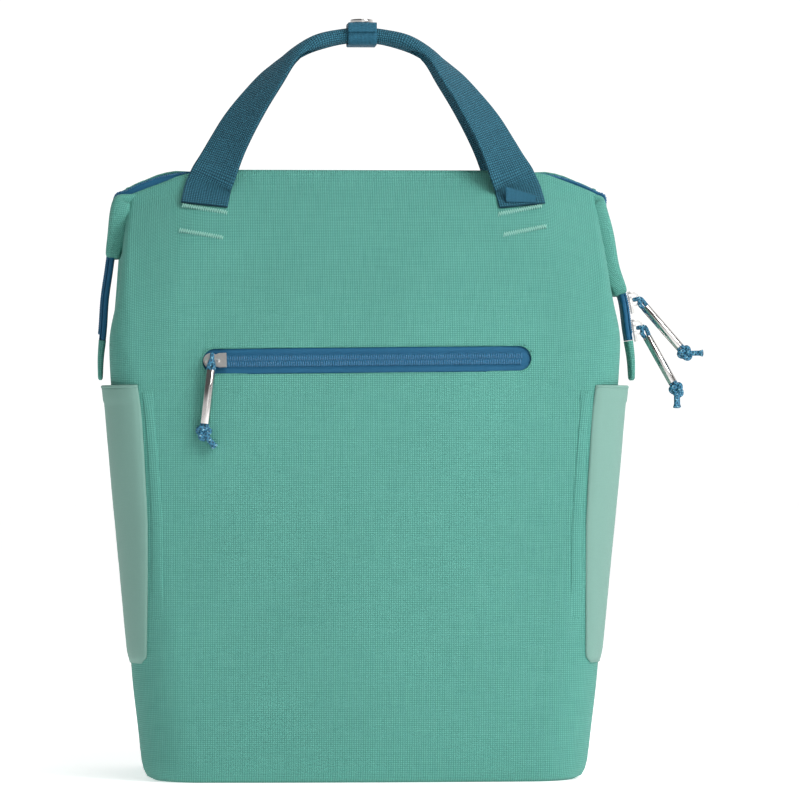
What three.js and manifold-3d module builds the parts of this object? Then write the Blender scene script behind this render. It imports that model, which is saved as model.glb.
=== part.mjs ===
// A soft-sided cooler backpack standing on its base: padded wall panels that lean in to a zipped
// ridge, the zip's two ends folded down over the sides, stretch pockets, a zipped front pocket, a pair
// of webbing handles held together by a snapped keeper, and two shoulder straps on the back.
// Millimetres, +Z up, the front faces -Y, the origin is the middle of the base's underside.
import * as THREE from "three";
import { mergeVertices } from "three/addons/utils/BufferGeometryUtils.js";
import Module from "manifold-3d";

const wasm = await Module();
wasm.setup();

// Body sizes
const ridgeHeight = 401; // floor to the closed zip ridge
const halfWidth = 167; // widest, just above the side pockets
const halfDepth = 94; // lower body, front to middle
const cornerRadius = 38; // upright corners at the base
const frontBulge = 7; // the padded front and back stand proud of their corners
const sideDent = 14; // the sides are pulled in under the folded zip ends
const wall = 6; // outer cloth, foam and lining
const rimWall = 2.5; // cloth alone, where it is sewn to the zip
const seamGap = 0.3; // clearance between pieces that touch
const baseHeight = 12; // where the base tray meets the walls
const ridgeHalfLength = 162; // middle to where the ridge turns down
const ridgeFlat = 121; // the ridge is level as far as this
const ridgeDrop = 15.5; // the ridge's ends sit this much lower

// Zip sizes
const tapeThickness = 1.2;
const tapeRecess = 2.6; // the ridge's tape lies this far under the cloth's edge
const coilWidth = 7;
const coilHeight = 1.2;
const frontZipHeight = 274; // middle of the front pocket's zip
const frontZipLength = 214;
const frontZipWidth = 17;
const frontZipRecess = 2; // the tape lies in a window in the cloth
const frontZipCentre = 0;
const frontZipSlope = 0.0105; // it rises a little towards the right

// Folded zip ends
const foldDrop = 124; // ridge's corner to the tip of the end tab
const foldOutLeft = 13.5; // how far the tip stands out past the ridge's corner
const foldOutRight = 20.5;
const foldHalfWidth = 25; // half width of the fold below the ridge's corner
const foldThickness = 11;
const zipEndHalfWidth = 12;
const zipEndThickness = 3.4;

// Pockets
const pocketMouth = 257;
const pocketBottom = 77;
const pocketGap = 8.5; // room at the middle of the mouth
const pocketCloth = 1.6;
const pocketLift = 1; // its seam allowance stands off the wall

// Handles and keeper
const webbingWidth = 31;
const webbingThickness = 1.6;
const handleCentre = 0;
const handleHalfSpan = 104; // middle to where each leg is sewn on
const handleFoot = ridgeHeight - 20.5; // height of the sewn ends
const handleSewn = 8; // sewn down over this height
const handleTop = ridgeHeight + 95; // top of the rolled grip
const gripHeight = 10; // rolled webbing, top to bottom
const gripDepth = 11.5; // rolled webbing, front to back
const gripGap = 0.6; // between the two rolled grips
const keeperLength = 19;
const keeperThickness = 1.6;
const snapRadius = 7.6;
const snapHeight = 2.6;
const tabWidth = 20; // small cloth tab at the foot of the handle
const tabReach = 9;

// Zip pulls
const tubeLength = 35;
const tubeRadius = 3.15;
const tubeWall = 0.4;
const cordRadius = 1.2;
const knotRadius = 3.1;
const knotCord = 1.6; // the knot swells the cord
const tailLength = 10;
const sliderLength = 15;
const sliderWidth = 10;
const sliderPlate = 1.6;
const crownRise = 6.6; // top of the slider's bridge over its plate
const crownWidth = 1.5;
const crownThickness = 1.1;

// Shoulder straps
const strapHalfSpacing = 52; // middle of the back to each strap's top
const strapTop = 336;
const strapWidth = 54;
const strapPadding = 8;
const strapFootSpacing = 92; // middle of the back to each strap's foot
const strapFoot = 40;
const strapWebbing = 25;
const strapReach = 36; // how far the strap bows out from the back
const buckleHeight = 24;
const buckleThickness = 2.6;
const buckleBar = 3.5;
const yokeHeight = 16;
const yokeThickness = 2;
const claspLength = 13; // how far the loop's webbing overlaps the pad's end

// Colours
const bodyGreen = 0x5aa999;
const pocketGreen = 0x86b5a8;
const webbingBlue = 0x1d5a78;
const zipBlue = 0x2c648c;
const metalSilver = 0xd8d6d2;

// Wall sections from the base up: each column is a share of the body size that it follows
const seamHeight = (baseHeight + seamGap) / ridgeHeight;
const sections = [
  { height: 0.0, width: 0.825, depth: 0.88, corner: 0.86, bulge: 0.3, dent: 0.0 },
  { height: 0.006, width: 0.853, depth: 0.928, corner: 0.95, bulge: 0.42, dent: 0.0 },
  { height: 0.016, width: 0.866, depth: 0.95, corner: 0.98, bulge: 0.5, dent: 0.0 },
  { height: seamHeight, width: 0.875, depth: 0.962, corner: 1.0, bulge: 0.55, dent: 0.02 },
  { height: 0.08, width: 0.888, depth: 0.98, corner: 1.0, bulge: 0.75, dent: 0.06 },
  { height: 0.165, width: 0.911, depth: 0.99, corner: 0.97, bulge: 0.9, dent: 0.12 },
  { height: 0.34, width: 0.942, depth: 1.0, corner: 0.9, bulge: 1.0, dent: 0.32 },
  { height: 0.52, width: 0.971, depth: 0.99, corner: 0.76, bulge: 1.0, dent: 0.56 },
  { height: 0.6, width: 0.983, depth: 0.96, corner: 0.68, bulge: 1.0, dent: 0.66 },
  { height: 0.665, width: 0.995, depth: 0.915, corner: 0.58, bulge: 0.95, dent: 0.76 },
  { height: 0.73, width: 1.0, depth: 0.845, corner: 0.46, bulge: 0.9, dent: 0.9 },
  { height: 0.79, width: 0.99, depth: 0.745, corner: 0.36, bulge: 0.8, dent: 1.0 },
  { height: 0.845, width: 0.978, depth: 0.61, corner: 0.29, bulge: 0.65, dent: 0.92 },
  { height: 0.9, width: 0.965, depth: 0.45, corner: 0.24, bulge: 0.5, dent: 0.66 },
  { height: 0.945, width: 0.952, depth: 0.305, corner: 0.21, bulge: 0.35, dent: 0.34 },
  { height: 0.978, width: 0.944, depth: 0.195, corner: 0.18, bulge: 0.15, dent: 0.1 },
  { height: 1.0, width: 0.94, depth: 0.14, corner: 0.16, bulge: 0.0, dent: 0.0 },
];

// One leg of a handle above its sewn foot: out, rise and depth are shares of the half span, of the rise from
// foot to top and of the foot's distance from the middle; turn is in degrees and roll goes from flat to
// rolled up
const handleLeg = [
  { out: 0.955, rise: 0.145, depth: 0.72, turn: 8, roll: 0.0 },
  { out: 0.92, rise: 0.22, depth: 0.66, turn: 20, roll: 0.0 },
  { out: 0.87, rise: 0.32, depth: 0.58, turn: 36, roll: 0.0 },
  { out: 0.8, rise: 0.446, depth: 0.5, turn: 49, roll: 0.03 },
  { out: 0.7, rise: 0.59, depth: 0.41, turn: 60, roll: 0.1 },
  { out: 0.575, rise: 0.745, depth: 0.33, turn: 68, roll: 0.28 },
  { out: 0.465, rise: 0.865, depth: 0.26, turn: 77, roll: 0.66 },
  { out: 0.31, rise: 0.95, depth: 0.2, turn: 87, roll: 0.96 },
  { out: 0.14, rise: 0.99, depth: 0.0, turn: 90, roll: 1.0 },
];

// The folded zip end, ridge's corner to tip: drop is a share of foldDrop, left and right of foldOut
const foldLine = [
  { drop: -0.032, left: -0.35, right: -0.23 },
  { drop: 0.01, left: 0.03, right: -0.02 },
  { drop: 0.08, left: 0.19, right: 0.0 },
  { drop: 0.24, left: 0.34, right: 0.17 },
  { drop: 0.4, left: 0.53, right: 0.34 },
  { drop: 0.56, left: 0.74, right: 0.69 },
  { drop: 0.72, left: 0.84, right: 0.83 },
  { drop: 0.88, left: 0.98, right: 0.97 },
  { drop: 1.0, left: 1.0, right: 1.0 },
];

// A shoulder strap, top to foot: down is a share of its height, bow of strapReach, out of the way from
// its top's spacing to its foot's
const strapLine = [
  { down: 0.0, bow: 0.0, out: 0.0 },
  { down: 0.05, bow: 0.06, out: 0.0 },
  { down: 0.2, bow: 0.56, out: 0.03 },
  { down: 0.38, bow: 0.94, out: 0.12 },
  { down: 0.54, bow: 1.0, out: 0.3 },
  { down: 0.68, bow: 0.82, out: 0.5 },
  { down: 0.82, bow: 0.46, out: 0.72 },
  { down: 0.92, bow: 0.06, out: 0.9 },
  { down: 1.0, bow: 0.0, out: 1.0 },
];

const lerp = THREE.MathUtils.lerp;
const clamp = THREE.MathUtils.clamp;
const smooth = (low, high, x) => THREE.MathUtils.smoothstep(x, low, high);
const vec = (x, y, z) => new THREE.Vector3(x, y, z);

// A closed surface from points and triangles, turned so that its faces point out
function closedGeometry(points, triangles) {
  let volume = 0;
  for (const [a, b, c] of triangles) {
    volume += points[a].dot(vec(0, 0, 0).crossVectors(points[b], points[c]));
  }
  const index = triangles.flatMap(([a, b, c]) => (volume < 0 ? [a, c, b] : [a, b, c]));
  const geometry = new THREE.BufferGeometry();
  geometry.setAttribute("position", new THREE.Float32BufferAttribute(points.flatMap((p) => p.toArray()), 3));
  geometry.setIndex(index);
  geometry.computeVertexNormals();
  return geometry;
}

// Cloth between two grids of points with the same rows and columns
function sheet(outer, inner) {
  const rows = outer.length;
  const columns = outer[0].length;
  const points = [...outer.flat(), ...inner.flat()];
  const at = (side, row, column) => (side * rows + row) * columns + column;
  const triangles = [];
  const quad = (a, b, c, d) => triangles.push([a, b, c], [a, c, d]);
  for (let row = 0; row < rows - 1; row += 1) {
    for (let column = 0; column < columns - 1; column += 1) {
      for (const side of [0, 1]) {
        const corners = [
          at(side, row, column),
          at(side, row, column + 1),
          at(side, row + 1, column + 1),
          at(side, row + 1, column),
        ];
        if (side) corners.reverse();
        quad(...corners);
      }
    }
    quad(at(0, row, 0), at(0, row + 1, 0), at(1, row + 1, 0), at(1, row, 0));
    const last = columns - 1;
    quad(at(1, row, last), at(1, row + 1, last), at(0, row + 1, last), at(0, row, last));
  }
  for (let column = 0; column < columns - 1; column += 1) {
    const top = rows - 1;
    quad(at(1, 0, column), at(1, 0, column + 1), at(0, 0, column + 1), at(0, 0, column));
    quad(at(0, top, column), at(0, top, column + 1), at(1, top, column + 1), at(1, top, column));
  }
  return closedGeometry(points, triangles);
}

// A solid through closed rings of points, its ends closed to their centres
function loft(rings) {
  const count = rings[0].length;
  const middle = (ring) => ring.reduce((sum, p) => sum.add(p), vec(0, 0, 0)).divideScalar(count);
  const points = [...rings.flat(), middle(rings[0]), middle(rings.at(-1))];
  const first = rings.length * count;
  const triangles = [];
  for (let i = 0; i < count; i += 1) {
    const next = (i + 1) % count;
    for (let ring = 0; ring < rings.length - 1; ring += 1) {
      const low = ring * count;
      const high = low + count;
      triangles.push([low + i, low + next, high + next], [low + i, high + next, high + i]);
    }
    const last = (rings.length - 1) * count;
    triangles.push([first, next, i], [first + 1, last + i, last + next]);
  }
  return closedGeometry(points, triangles);
}

// Joins and cuts
function toSolid(geometry) {
  const bare = geometry.clone();
  bare.deleteAttribute("normal");
  bare.deleteAttribute("uv");
  const merged = mergeVertices(bare, 1e-3);
  return new wasm.Manifold(
    new wasm.Mesh({
      numProp: 3,
      vertProperties: merged.attributes.position.array,
      triVerts: new Uint32Array(merged.index.array),
    }),
  );
}

function toGeometry(solid) {
  const mesh = solid.getMesh();
  const geometry = new THREE.BufferGeometry();
  geometry.setAttribute("position", new THREE.BufferAttribute(mesh.vertProperties, 3));
  geometry.setIndex(new THREE.BufferAttribute(mesh.triVerts, 1));
  geometry.computeVertexNormals();
  return geometry;
}

const sliver = 0.02; // edges left by a join that are shorter than this are closed up
const joined = (geometries) =>
  toGeometry(geometries.map(toSolid).reduce((a, b) => a.add(b)).simplify(sliver));

// The wall's section at a height, as real sizes; inset moves it inwards by that much
function sectionAt(height, inset = 0) {
  const share = clamp(height / ridgeHeight, 0, 1);
  const above = Math.max(1, sections.findIndex((row) => row.height >= share));
  const low = sections[above - 1];
  const high = sections[above];
  const t = (share - low.height) / (high.height - low.height);
  const size = (column, unit) => lerp(low[column], high[column], t) * unit;
  const innerCorner = 1.2;
  return {
    height,
    width: size("width", halfWidth) - inset,
    depth: size("depth", halfDepth) - inset,
    corner: Math.max(size("corner", cornerRadius) - inset, innerCorner),
    bulge: size("bulge", frontBulge),
    dent: size("dent", sideDent),
  };
}

// The ridge slopes down towards its ends, and takes the upper walls with it
function lowered(x, height) {
  const along = clamp((Math.abs(x) - ridgeFlat) / (ridgeHalfLength - ridgeFlat), 0, 1.2);
  return height - ridgeDrop * along ** 1.25 * smooth(0.6 * ridgeHeight, ridgeHeight, height);
}

const wallAt = (height) => lerp(wall, rimWall, smooth(0.86 * ridgeHeight, ridgeHeight, height));

// Points round a quarter of the section, front middle to side middle: share 0 to 1 is the front's
// flat, 1 to 2 the corner and 2 to 3 the side
function quarterPoint(section, share) {
  const { width, depth, corner, bulge, dent, height } = section;
  const flat = width - corner;
  const side = depth - corner;
  const turn = (clamp(share - 1, 0, 1) * Math.PI) / 2;
  let x = flat + corner * Math.sin(turn);
  let y = side + corner * Math.cos(turn);
  if (share < 1) {
    x = flat * share;
    y = depth + bulge * (1 - share ** 2);
  } else if (share > 2) {
    x = width - dent * (1 - (3 - share) ** 2);
    y = side * (3 - share);
  }
  return vec(x, -y, lowered(x, height));
}

const heights = sections.map((row) => row.height * ridgeHeight);
const wallHeights = heights.filter((height) => height >= baseHeight);

// A wall panel from seam to seam: shares run across it, and seamTurn is the middle of a corner
const seamShare = 1.5;
const frontShares = [1.5, 1.25, 1, 0.67, 0.33, 0];
const sideShares = [1.5, 1.75, 2, 2.33, 2.67, 3];

function panelRow(height, shares, inset, flipX, flipY) {
  const section = sectionAt(height, inset);
  return shares.map((share) => {
    const point = quarterPoint(section, share);
    if (share === seamShare) {
      const back = shares === frontShares ? -1 : 1;
      point.x += (back * seamGap * Math.SQRT1_2) / 2;
      point.y += (back * seamGap * Math.SQRT1_2) / 2;
    }
    return vec(point.x * flipX, point.y * flipY, point.z);
  });
}

function facePanel(flipY) {
  const row = (height, inset) => {
    const right = panelRow(height, frontShares, inset, 1, flipY);
    const left = panelRow(height, frontShares, inset, -1, flipY);
    return [...left, ...right.reverse().slice(1)];
  };
  return sheet(
    wallHeights.map((height) => row(height, 0)),
    wallHeights.map((height) => row(height, wallAt(height))),
  );
}

function sidePanel(flipX) {
  const row = (height, inset) => {
    const front = panelRow(height, sideShares, inset, flipX, 1);
    const back = panelRow(height, sideShares, inset, flipX, -1);
    return [...front, ...back.reverse().slice(1)];
  };
  return sheet(
    wallHeights.map((height) => row(height, 0)),
    wallHeights.map((height) => row(height, wallAt(height))),
  );
}

function wholeRing(height, inset, z = height) {
  const shares = [0, 0.5, 1, 1.25, 1.5, 1.75, 2, 3];
  const section = sectionAt(height, inset);
  const quarter = (flipX, flipY) =>
    shares.map((share) => {
      const p = quarterPoint(section, share);
      return vec(p.x * flipX, p.y * flipY, z);
    });
  const right = [...quarter(1, 1), ...quarter(1, -1).reverse().slice(1)];
  const left = [...quarter(-1, -1).slice(1), ...quarter(-1, 1).reverse().slice(1, -1)];
  return [...right, ...left];
}

function basePanel() {
  const top = baseHeight - seamGap;
  const outer = heights.filter((height) => height < top).map((height) => wholeRing(height, 0));
  const filletShare = 0.5;
  return loft([
    ...outer,
    wholeRing(top, 0),
    wholeRing(top, wall),
    wholeRing(top, wall * (1 + filletShare), wall * 1.1),
    wholeRing(top, wall * (1 + 2 * filletShare), wall),
  ]);
}

// A point on the front or back face, and the way that the face looks there
function facePoint(x, height, flipY = 1) {
  const at = (px, h) => {
    const section = sectionAt(h);
    const share = px / (section.width - section.corner);
    const point = quarterPoint(section, Math.abs(share));
    return vec(px, point.y * flipY, lowered(px, h));
  };
  const step = 1;
  const across = at(x + step, height).sub(at(x - step, height));
  const up = at(x, height + step).sub(at(x, height - step));
  const normal = across.cross(up).normalize().multiplyScalar(flipY);
  return { point: at(x, height), normal };
}

// A stadium of the front pocket's zip that follows the front face between two depths
function frontStadium(length, width, low, high) {
  const ends = [0, 0.3, 0.62, 0.86, 1].map((s) => (width / 2) * (1 - Math.cos((s * Math.PI) / 2)));
  const straight = [1, 2, 3, 4, 5, 6, 7].map((i) => (i * length) / 8);
  const offsets = [...ends, ...straight, ...ends.map((end) => length - end).reverse()];
  const grid = (depth) =>
    [-1, 0, 1].map((across) =>
      offsets.map((offset) => {
        const end = Math.min(offset, length - offset, width / 2);
        const leastHalf = 0.4;
        const half = Math.max(Math.sqrt((width / 2) ** 2 - (width / 2 - end) ** 2), leastHalf);
        const x = frontZipCentre - length / 2 + offset;
        const { point, normal } = facePoint(x, frontZipHeight + x * frontZipSlope + across * half);
        return point.addScaledVector(normal, depth);
      }),
    );
  return sheet(grid(high), grid(low));
}

function frontPanel() {
  const cutter = frontStadium(frontZipLength, frontZipWidth, -frontZipRecess, frontZipRecess * 2);
  return toGeometry(toSolid(facePanel(1)).subtract(toSolid(cutter)));
}

// A band along stations: centre, half width across, thickness along the station's normal; edge is the
// share of its thickness that stays upright at its edges, and a band with none is square
function band(stations, edge = 0) {
  const square = [
    [-1, -1],
    [1, -1],
    [1, 1],
    [-1, 1],
  ];
  const rounded = [
    [-1, -edge],
    [-1 + edge * 0.2, -1],
    [0, -1],
    [1 - edge * 0.2, -1],
    [1, -edge],
    [1, edge],
    [1 - edge * 0.2, 1],
    [0, 1],
    [-1 + edge * 0.2, 1],
    [-1, edge],
  ];
  const outline = edge ? rounded : square;
  return loft(
    stations.map(({ centre, across, normal, halfWidth: half, thickness }) =>
      outline.map(([a, b]) =>
        centre
          .clone()
          .addScaledVector(across, a * half)
          .addScaledVector(normal, (b * thickness) / 2),
      ),
    ),
  );
}

const flipOf = (side) => (side === "left" ? -1 : 1);
const foldOut = { left: foldOutLeft, right: foldOutRight };

// The main zip's line, from the ridge's middle over its corner and down the folded end
function zipLine(side) {
  const out = foldOut[side];
  const cornerHeight = ridgeHeight - ridgeDrop;
  const ridge = [0, 0.3, 0.6, 0.72, 0.82, 0.9].map((share) => {
    const x = share * ridgeHalfLength;
    const recess = lerp(tapeRecess, -tapeThickness, smooth(ridgeFlat, ridgeHalfLength * 0.9, x));
    return vec(x, 0, lowered(x, ridgeHeight) - recess);
  });
  const fold = foldLine.map((row) => {
    return vec(ridgeHalfLength + row[side] * out, 0, cornerHeight - row.drop * foldDrop);
  });
  return new THREE.CatmullRomCurve3([...ridge, ...fold], false, "centripetal");
}


// Where the zip's line reaches a drop below the ridge's corner, as a share of the line
function lineShare(curve, drop) {
  const height = ridgeHeight - ridgeDrop - drop * foldDrop;
  let low = 0;
  let high = 1;
  for (let i = 0; i < 40; i += 1) {
    const mid = (low + high) / 2;
    if (curve.getPointAt(mid).z > height) low = mid;
    else high = mid;
  }
  return low;
}

function alongZip(side, start, end, count, halfWidthAt, thicknessAt, liftAt) {
  const curve = zipLine(side);
  const flip = flipOf(side);
  return Array.from({ length: count }, (_, i) => {
    const t = i / (count - 1);
    const share = lerp(start, end, t);
    const tangent = curve.getTangentAt(share);
    const normal = vec(-tangent.z, 0, tangent.x);
    const centre = curve.getPointAt(share).addScaledVector(normal, liftAt(t));
    return {
      centre: vec(centre.x * flip, 0, centre.z),
      normal: vec(normal.x * flip, 0, normal.z),
      across: vec(0, 1, 0),
      halfWidth: halfWidthAt(t),
      thickness: thicknessAt(t),
    };
  });
}

// Drops, as shares of foldDrop, where the pieces of a folded end start and stop
const foldStart = 0.05;
const foldEnd = { left: 0.35, right: 0.54 };
const zipStop = 0.78;
const zipSteps = 26;
const slotHalfWidth = sections.at(-1).depth * halfDepth - rimWall;
const tapeHalfWidth = slotHalfWidth - seamGap;

// Both halves of a band that follows the whole zip; the level ridge needs few stations
function wholeZip(stop, half, thickness, lift) {
  const levelShare = 0.36;
  const halves = ["left", "right"].map((side) => {
    const end = lineShare(zipLine(side), stop);
    const part = (from, to, count) =>
      alongZip(side, from, to, count, () => half, () => thickness, () => lift);
    return [...part(0, levelShare, 3), ...part(levelShare + 0.02, end, zipSteps)];
  });
  return band([...halves[0].reverse(), ...halves[1].slice(1)]);
}

const mainTape = () => wholeZip(zipStop, tapeHalfWidth, tapeThickness, 0);
const coilLift = (tapeThickness + coilHeight) / 2 + 2 * seamGap;
const mainCoil = () => wholeZip(zipStop * 0.97, coilWidth / 2, coilHeight, coilLift);

// Where the side wall's cloth lies at a distance from its middle and a height
function sideSurface(y, height) {
  const { width, depth, corner, dent } = sectionAt(height);
  const side = depth - corner;
  const from = Math.abs(y);
  if (from < side) return width - dent * (1 - (from / side) ** 2);
  const round = Math.min(from - side, corner);
  return width - corner + Math.sqrt(corner ** 2 - round ** 2);
}

// The wall cloth that is folded down with the zip: its rims stand up on both sides of the tape, and
// inside it reaches back to the side wall
function endFold(side) {
  const curve = zipLine(side);
  const flip = flipOf(side);
  const start = lineShare(curve, foldStart);
  const end = lineShare(curve, foldEnd[side]);
  const count = 7;
  const outer = [];
  const inner = [];
  for (let i = 0; i < count; i += 1) {
    const t = i / (count - 1);
    const share = lerp(start, end, t);
    const at = curve.getPointAt(share);
    const tangent = curve.getTangentAt(share);
    const normal = vec(-tangent.z, 0, tangent.x);
    const widest = foldHalfWidth * lerp(0.62, 1, smooth(0, 0.4, t));
    const half = lerp(widest, zipEndHalfWidth * 1.2, t ** 1.3);
    const floor = -tapeThickness / 2 - 2 * seamGap;
    const rim = lerp(0.4, 1, smooth(0, 0.4, t)) * tapeRecess;
    const groove = slotHalfWidth;
    const wallX = (y) => sideSurface(y, Math.min(at.z + ridgeDrop, ridgeHeight)) + 6 * seamGap;
    const back = (y) => vec(Math.min(Math.max(wallX(y), at.x - foldThickness), at.x - 2.2), y, at.z);
    const front = (y, lift) => at.clone().addScaledVector(normal, lift).setY(y);
    const profile = [
      { y: half, lift: floor * 0.6, behind: half * 0.97 },
      { y: lerp(half, groove, 0.3), lift: rim * 0.9, behind: lerp(half, groove, 0.4) },
      { y: lerp(half, groove, 0.8), lift: rim, behind: lerp(half, groove, 0.8) },
      { y: groove, lift: rim * 0.8, behind: groove },
      { y: groove, lift: floor, behind: groove * 0.9 },
      { y: groove * 0.4, lift: floor, behind: groove * 0.4 },
    ];
    const mirrored = profile.map((row) => ({ y: -row.y, lift: row.lift, behind: -row.behind }));
    const rows = [...mirrored, ...profile.reverse()];
    const placed = (p) => vec(p.x * flip, p.y, p.z);
    outer.push(rows.map((row) => placed(front(row.y, row.lift))));
    inner.push(rows.map((row) => placed(back(row.behind))));
  }
  return sheet(outer, inner);
}

function zipEnd(side) {
  const curve = zipLine(side);
  return band(
    alongZip(
      side,
      lineShare(curve, foldEnd[side]) + 0.0015,
      lineShare(curve, zipStop),
      7,
      () => zipEndHalfWidth,
      () => zipEndThickness,
      () => -(zipEndThickness + tapeThickness) / 2 - seamGap,
    ),
  );
}

function endTab(side) {
  const curve = zipLine(side);
  const thickness = zipEndThickness + tapeThickness + seamGap;
  return band(
    alongZip(
      side,
      lineShare(curve, zipStop) + 0.0015,
      1,
      6,
      (t) => zipEndHalfWidth * (1 - 0.18 * t ** 2),
      (t) => thickness * (1 - 0.35 * t),
      () => -zipEndThickness / 2,
    ),
    0.45,
  );
}

// A stretch pocket that wraps a side from one corner to the other
const pocketLevels = [0, 0.16, 0.36, 0.56, 0.78, 1];
const pocketEdges = [
  { level: 0, share: 1.5 },
  { level: 0.5, share: 1.3 },
  { level: 1, share: 1.17 },
];

function pocketEdgeShare(level) {
  const above = level <= pocketEdges[1].level ? 1 : 2;
  const low = pocketEdges[above - 1];
  const high = pocketEdges[above];
  return lerp(low.share, high.share, (level - low.level) / (high.level - low.level));
}

function pocketPoint(level, across, lift) {
  // across runs from 0 at the front edge to 1 at the middle of the side
  const height = lerp(pocketBottom, pocketMouth, level);
  const edge = pocketEdgeShare(level);
  const section = sectionAt(height);
  const share = lerp(edge, 3, across);
  const near = quarterPoint(section, share - 0.01);
  const far = quarterPoint(section, Math.min(share + 0.01, 3));
  const normal = vec(near.y - far.y, far.x - near.x, 0).normalize();
  if (normal.x < 0) normal.negate();
  const room = pocketGap * Math.sin((across * Math.PI) / 2) ** 1.5 * level ** 0.8;
  return quarterPoint(section, share).addScaledVector(normal, pocketLift + room + lift);
}

function sidePocket(side) {
  const flip = flipOf(side);
  const columns = [0, 0.12, 0.24, 0.38, 0.55, 0.76, 1];
  const grid = (lift) =>
    pocketLevels.map((level) => {
      const front = columns.map((across) => pocketPoint(level, across, lift));
      const back = front.map((p) => vec(p.x, -p.y, p.z)).reverse();
      return [...front, ...back.slice(1)].map((p) => vec(p.x * flip, p.y, p.z));
    });
  return sheet(grid(pocketCloth), grid(0));
}

// Webbing swept along a leg, mirrored to the other: flat at the feet and rolled up at the grip
function handle(flipY) {
  const foot = facePoint(handleHalfSpan, handleFoot).point;
  const footDepth = -foot.y + seamGap + webbingThickness / 2;
  const gripCentre = (gripDepth + gripGap) / 2;
  const rise = handleTop - webbingThickness / 2 - foot.z;
  const stations = [];
  const place = (row, flipX) => ({
    point: vec(
      handleCentre + flipX * row.out * handleHalfSpan,
      -lerp(gripCentre, footDepth, row.depth),
      foot.z + seamGap + row.rise * rise,
    ),
    turn: THREE.MathUtils.degToRad(row.turn),
    roll: row.roll,
    face: vec(0, -1, 0),
  });
  const sewn = (height, flipX) => {
    const { point, normal } = facePoint(handleHalfSpan * (1 - (height - handleFoot) * 0.0022), height);
    point.addScaledVector(normal, 2 * seamGap + webbingThickness / 2);
    const face = vec(flipX * normal.x, normal.y, normal.z);
    return { point: vec(handleCentre + flipX * point.x, point.y, point.z), turn: 0, roll: 0, face };
  };
  const feet = [handleFoot, handleFoot + handleSewn];
  const crown = { ...handleLeg.at(-1), out: 0, rise: 1 };
  stations.push(...feet.map((height) => sewn(height, -1)));
  stations.push(...handleLeg.map((row) => place(row, -1)), place(crown, 1));
  stations.push(...[...handleLeg].reverse().map((row) => place(row, 1)));
  stations.push(...feet.reverse().map((height) => sewn(height, 1)));
  const curve = new THREE.CatmullRomCurve3(stations.map((s) => s.point), false, "centripetal");
  const acrossShares = [-1, -0.66, -0.33, 0, 0.33, 0.66, 1];
  const rolledTurn = 2.75; // radians from the grip's top to an edge of the webbing
  const stepsPerStation = 1;
  const outer = [];
  const inner = [];
  const last = (stations.length - 1) * stepsPerStation;
  for (let i = 0; i <= last; i += 1) {
    const t = i / last;
    const station = Math.min(Math.floor(i / stepsPerStation), stations.length - 2);
    const part = i / stepsPerStation - station;
    const turn = lerp(stations[station].turn, stations[station + 1].turn, part);
    const roll = lerp(stations[station].roll, stations[station + 1].roll, part);
    const centre = curve.getPoint(t);
    const along = curve.getTangent(t);
    const front = stations[station].face.clone().lerp(stations[station + 1].face, part);
    front.addScaledVector(along, -along.dot(front)).normalize();
    const outward = vec(-along.z, 0, along.x).normalize();
    const out = front.multiplyScalar(Math.cos(turn)).addScaledVector(outward, Math.sin(turn)).normalize();
    const across = vec(0, 0, 0).crossVectors(out, along).normalize();
    const local = (s) => {
      const angle = s * rolledTurn;
      const halfDeep = (gripDepth - webbingThickness) / 2;
      const halfHigh = (gripHeight - webbingThickness) / 2;
      return [
        lerp((s * webbingWidth) / 2, halfDeep * Math.sin(angle), roll),
        lerp(0, halfHigh * (1 - Math.cos(angle)), roll),
      ];
    };
    const rows = acrossShares.map((s) => {
      const [a, b] = local(s);
      const [a0, b0] = local(s - 0.02);
      const [a1, b1] = local(s + 0.02);
      const length = Math.hypot(a1 - a0, b1 - b0);
      const normalA = (b1 - b0) / length;
      const normalB = -(a1 - a0) / length;
      const point = (lift) => {
        const p = centre
          .clone()
          .addScaledVector(across, a + normalA * lift)
          .addScaledVector(out, -(b + normalB * lift));
        return vec(p.x, p.y * flipY, p.z);
      };
      return [point(webbingThickness / 2), point(-webbingThickness / 2)];
    });
    outer.push(rows.map((pair) => pair[0]));
    inner.push(rows.map((pair) => pair[1]));
  }
  return sheet(outer, inner);
}

// The keeper: a strip of webbing round both grips, doubled where the snap holds it
function keeperShape(halfDeep, low, high, corner) {
  const shape = new THREE.Shape();
  shape.moveTo(-halfDeep + corner, low);
  shape.lineTo(halfDeep - corner, low);
  shape.absarc(halfDeep - corner, low + corner, corner, -Math.PI / 2, 0);
  shape.absarc(halfDeep - corner, high - corner, corner, 0, Math.PI / 2);
  shape.absarc(-halfDeep + corner, high - corner, corner, Math.PI / 2, Math.PI);
  shape.absarc(-halfDeep + corner, low + corner, corner, Math.PI, Math.PI * 1.5);
  return shape;
}

const keeperInnerDepth = gripDepth + gripGap / 2 + seamGap;
const keeperInnerLow = handleTop - gripHeight - seamGap;
const keeperInnerHigh = handleTop + seamGap;
const keeperTop = keeperInnerHigh + 2 * keeperThickness;

function keeper() {
  const corner = 4.5;
  const outline = keeperShape(
    keeperInnerDepth + keeperThickness,
    keeperInnerLow - keeperThickness,
    keeperTop,
    corner + keeperThickness,
  );
  outline.holes.push(keeperShape(keeperInnerDepth, keeperInnerLow, keeperInnerHigh, corner));
  const options = { depth: keeperLength, bevelEnabled: false, curveSegments: 3 };
  const geometry = new THREE.ExtrudeGeometry(outline, options);
  geometry.rotateX(Math.PI / 2);
  geometry.rotateZ(Math.PI / 2);
  geometry.translate(handleCentre - keeperLength / 2, 0, 0);
  return geometry;
}

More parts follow.
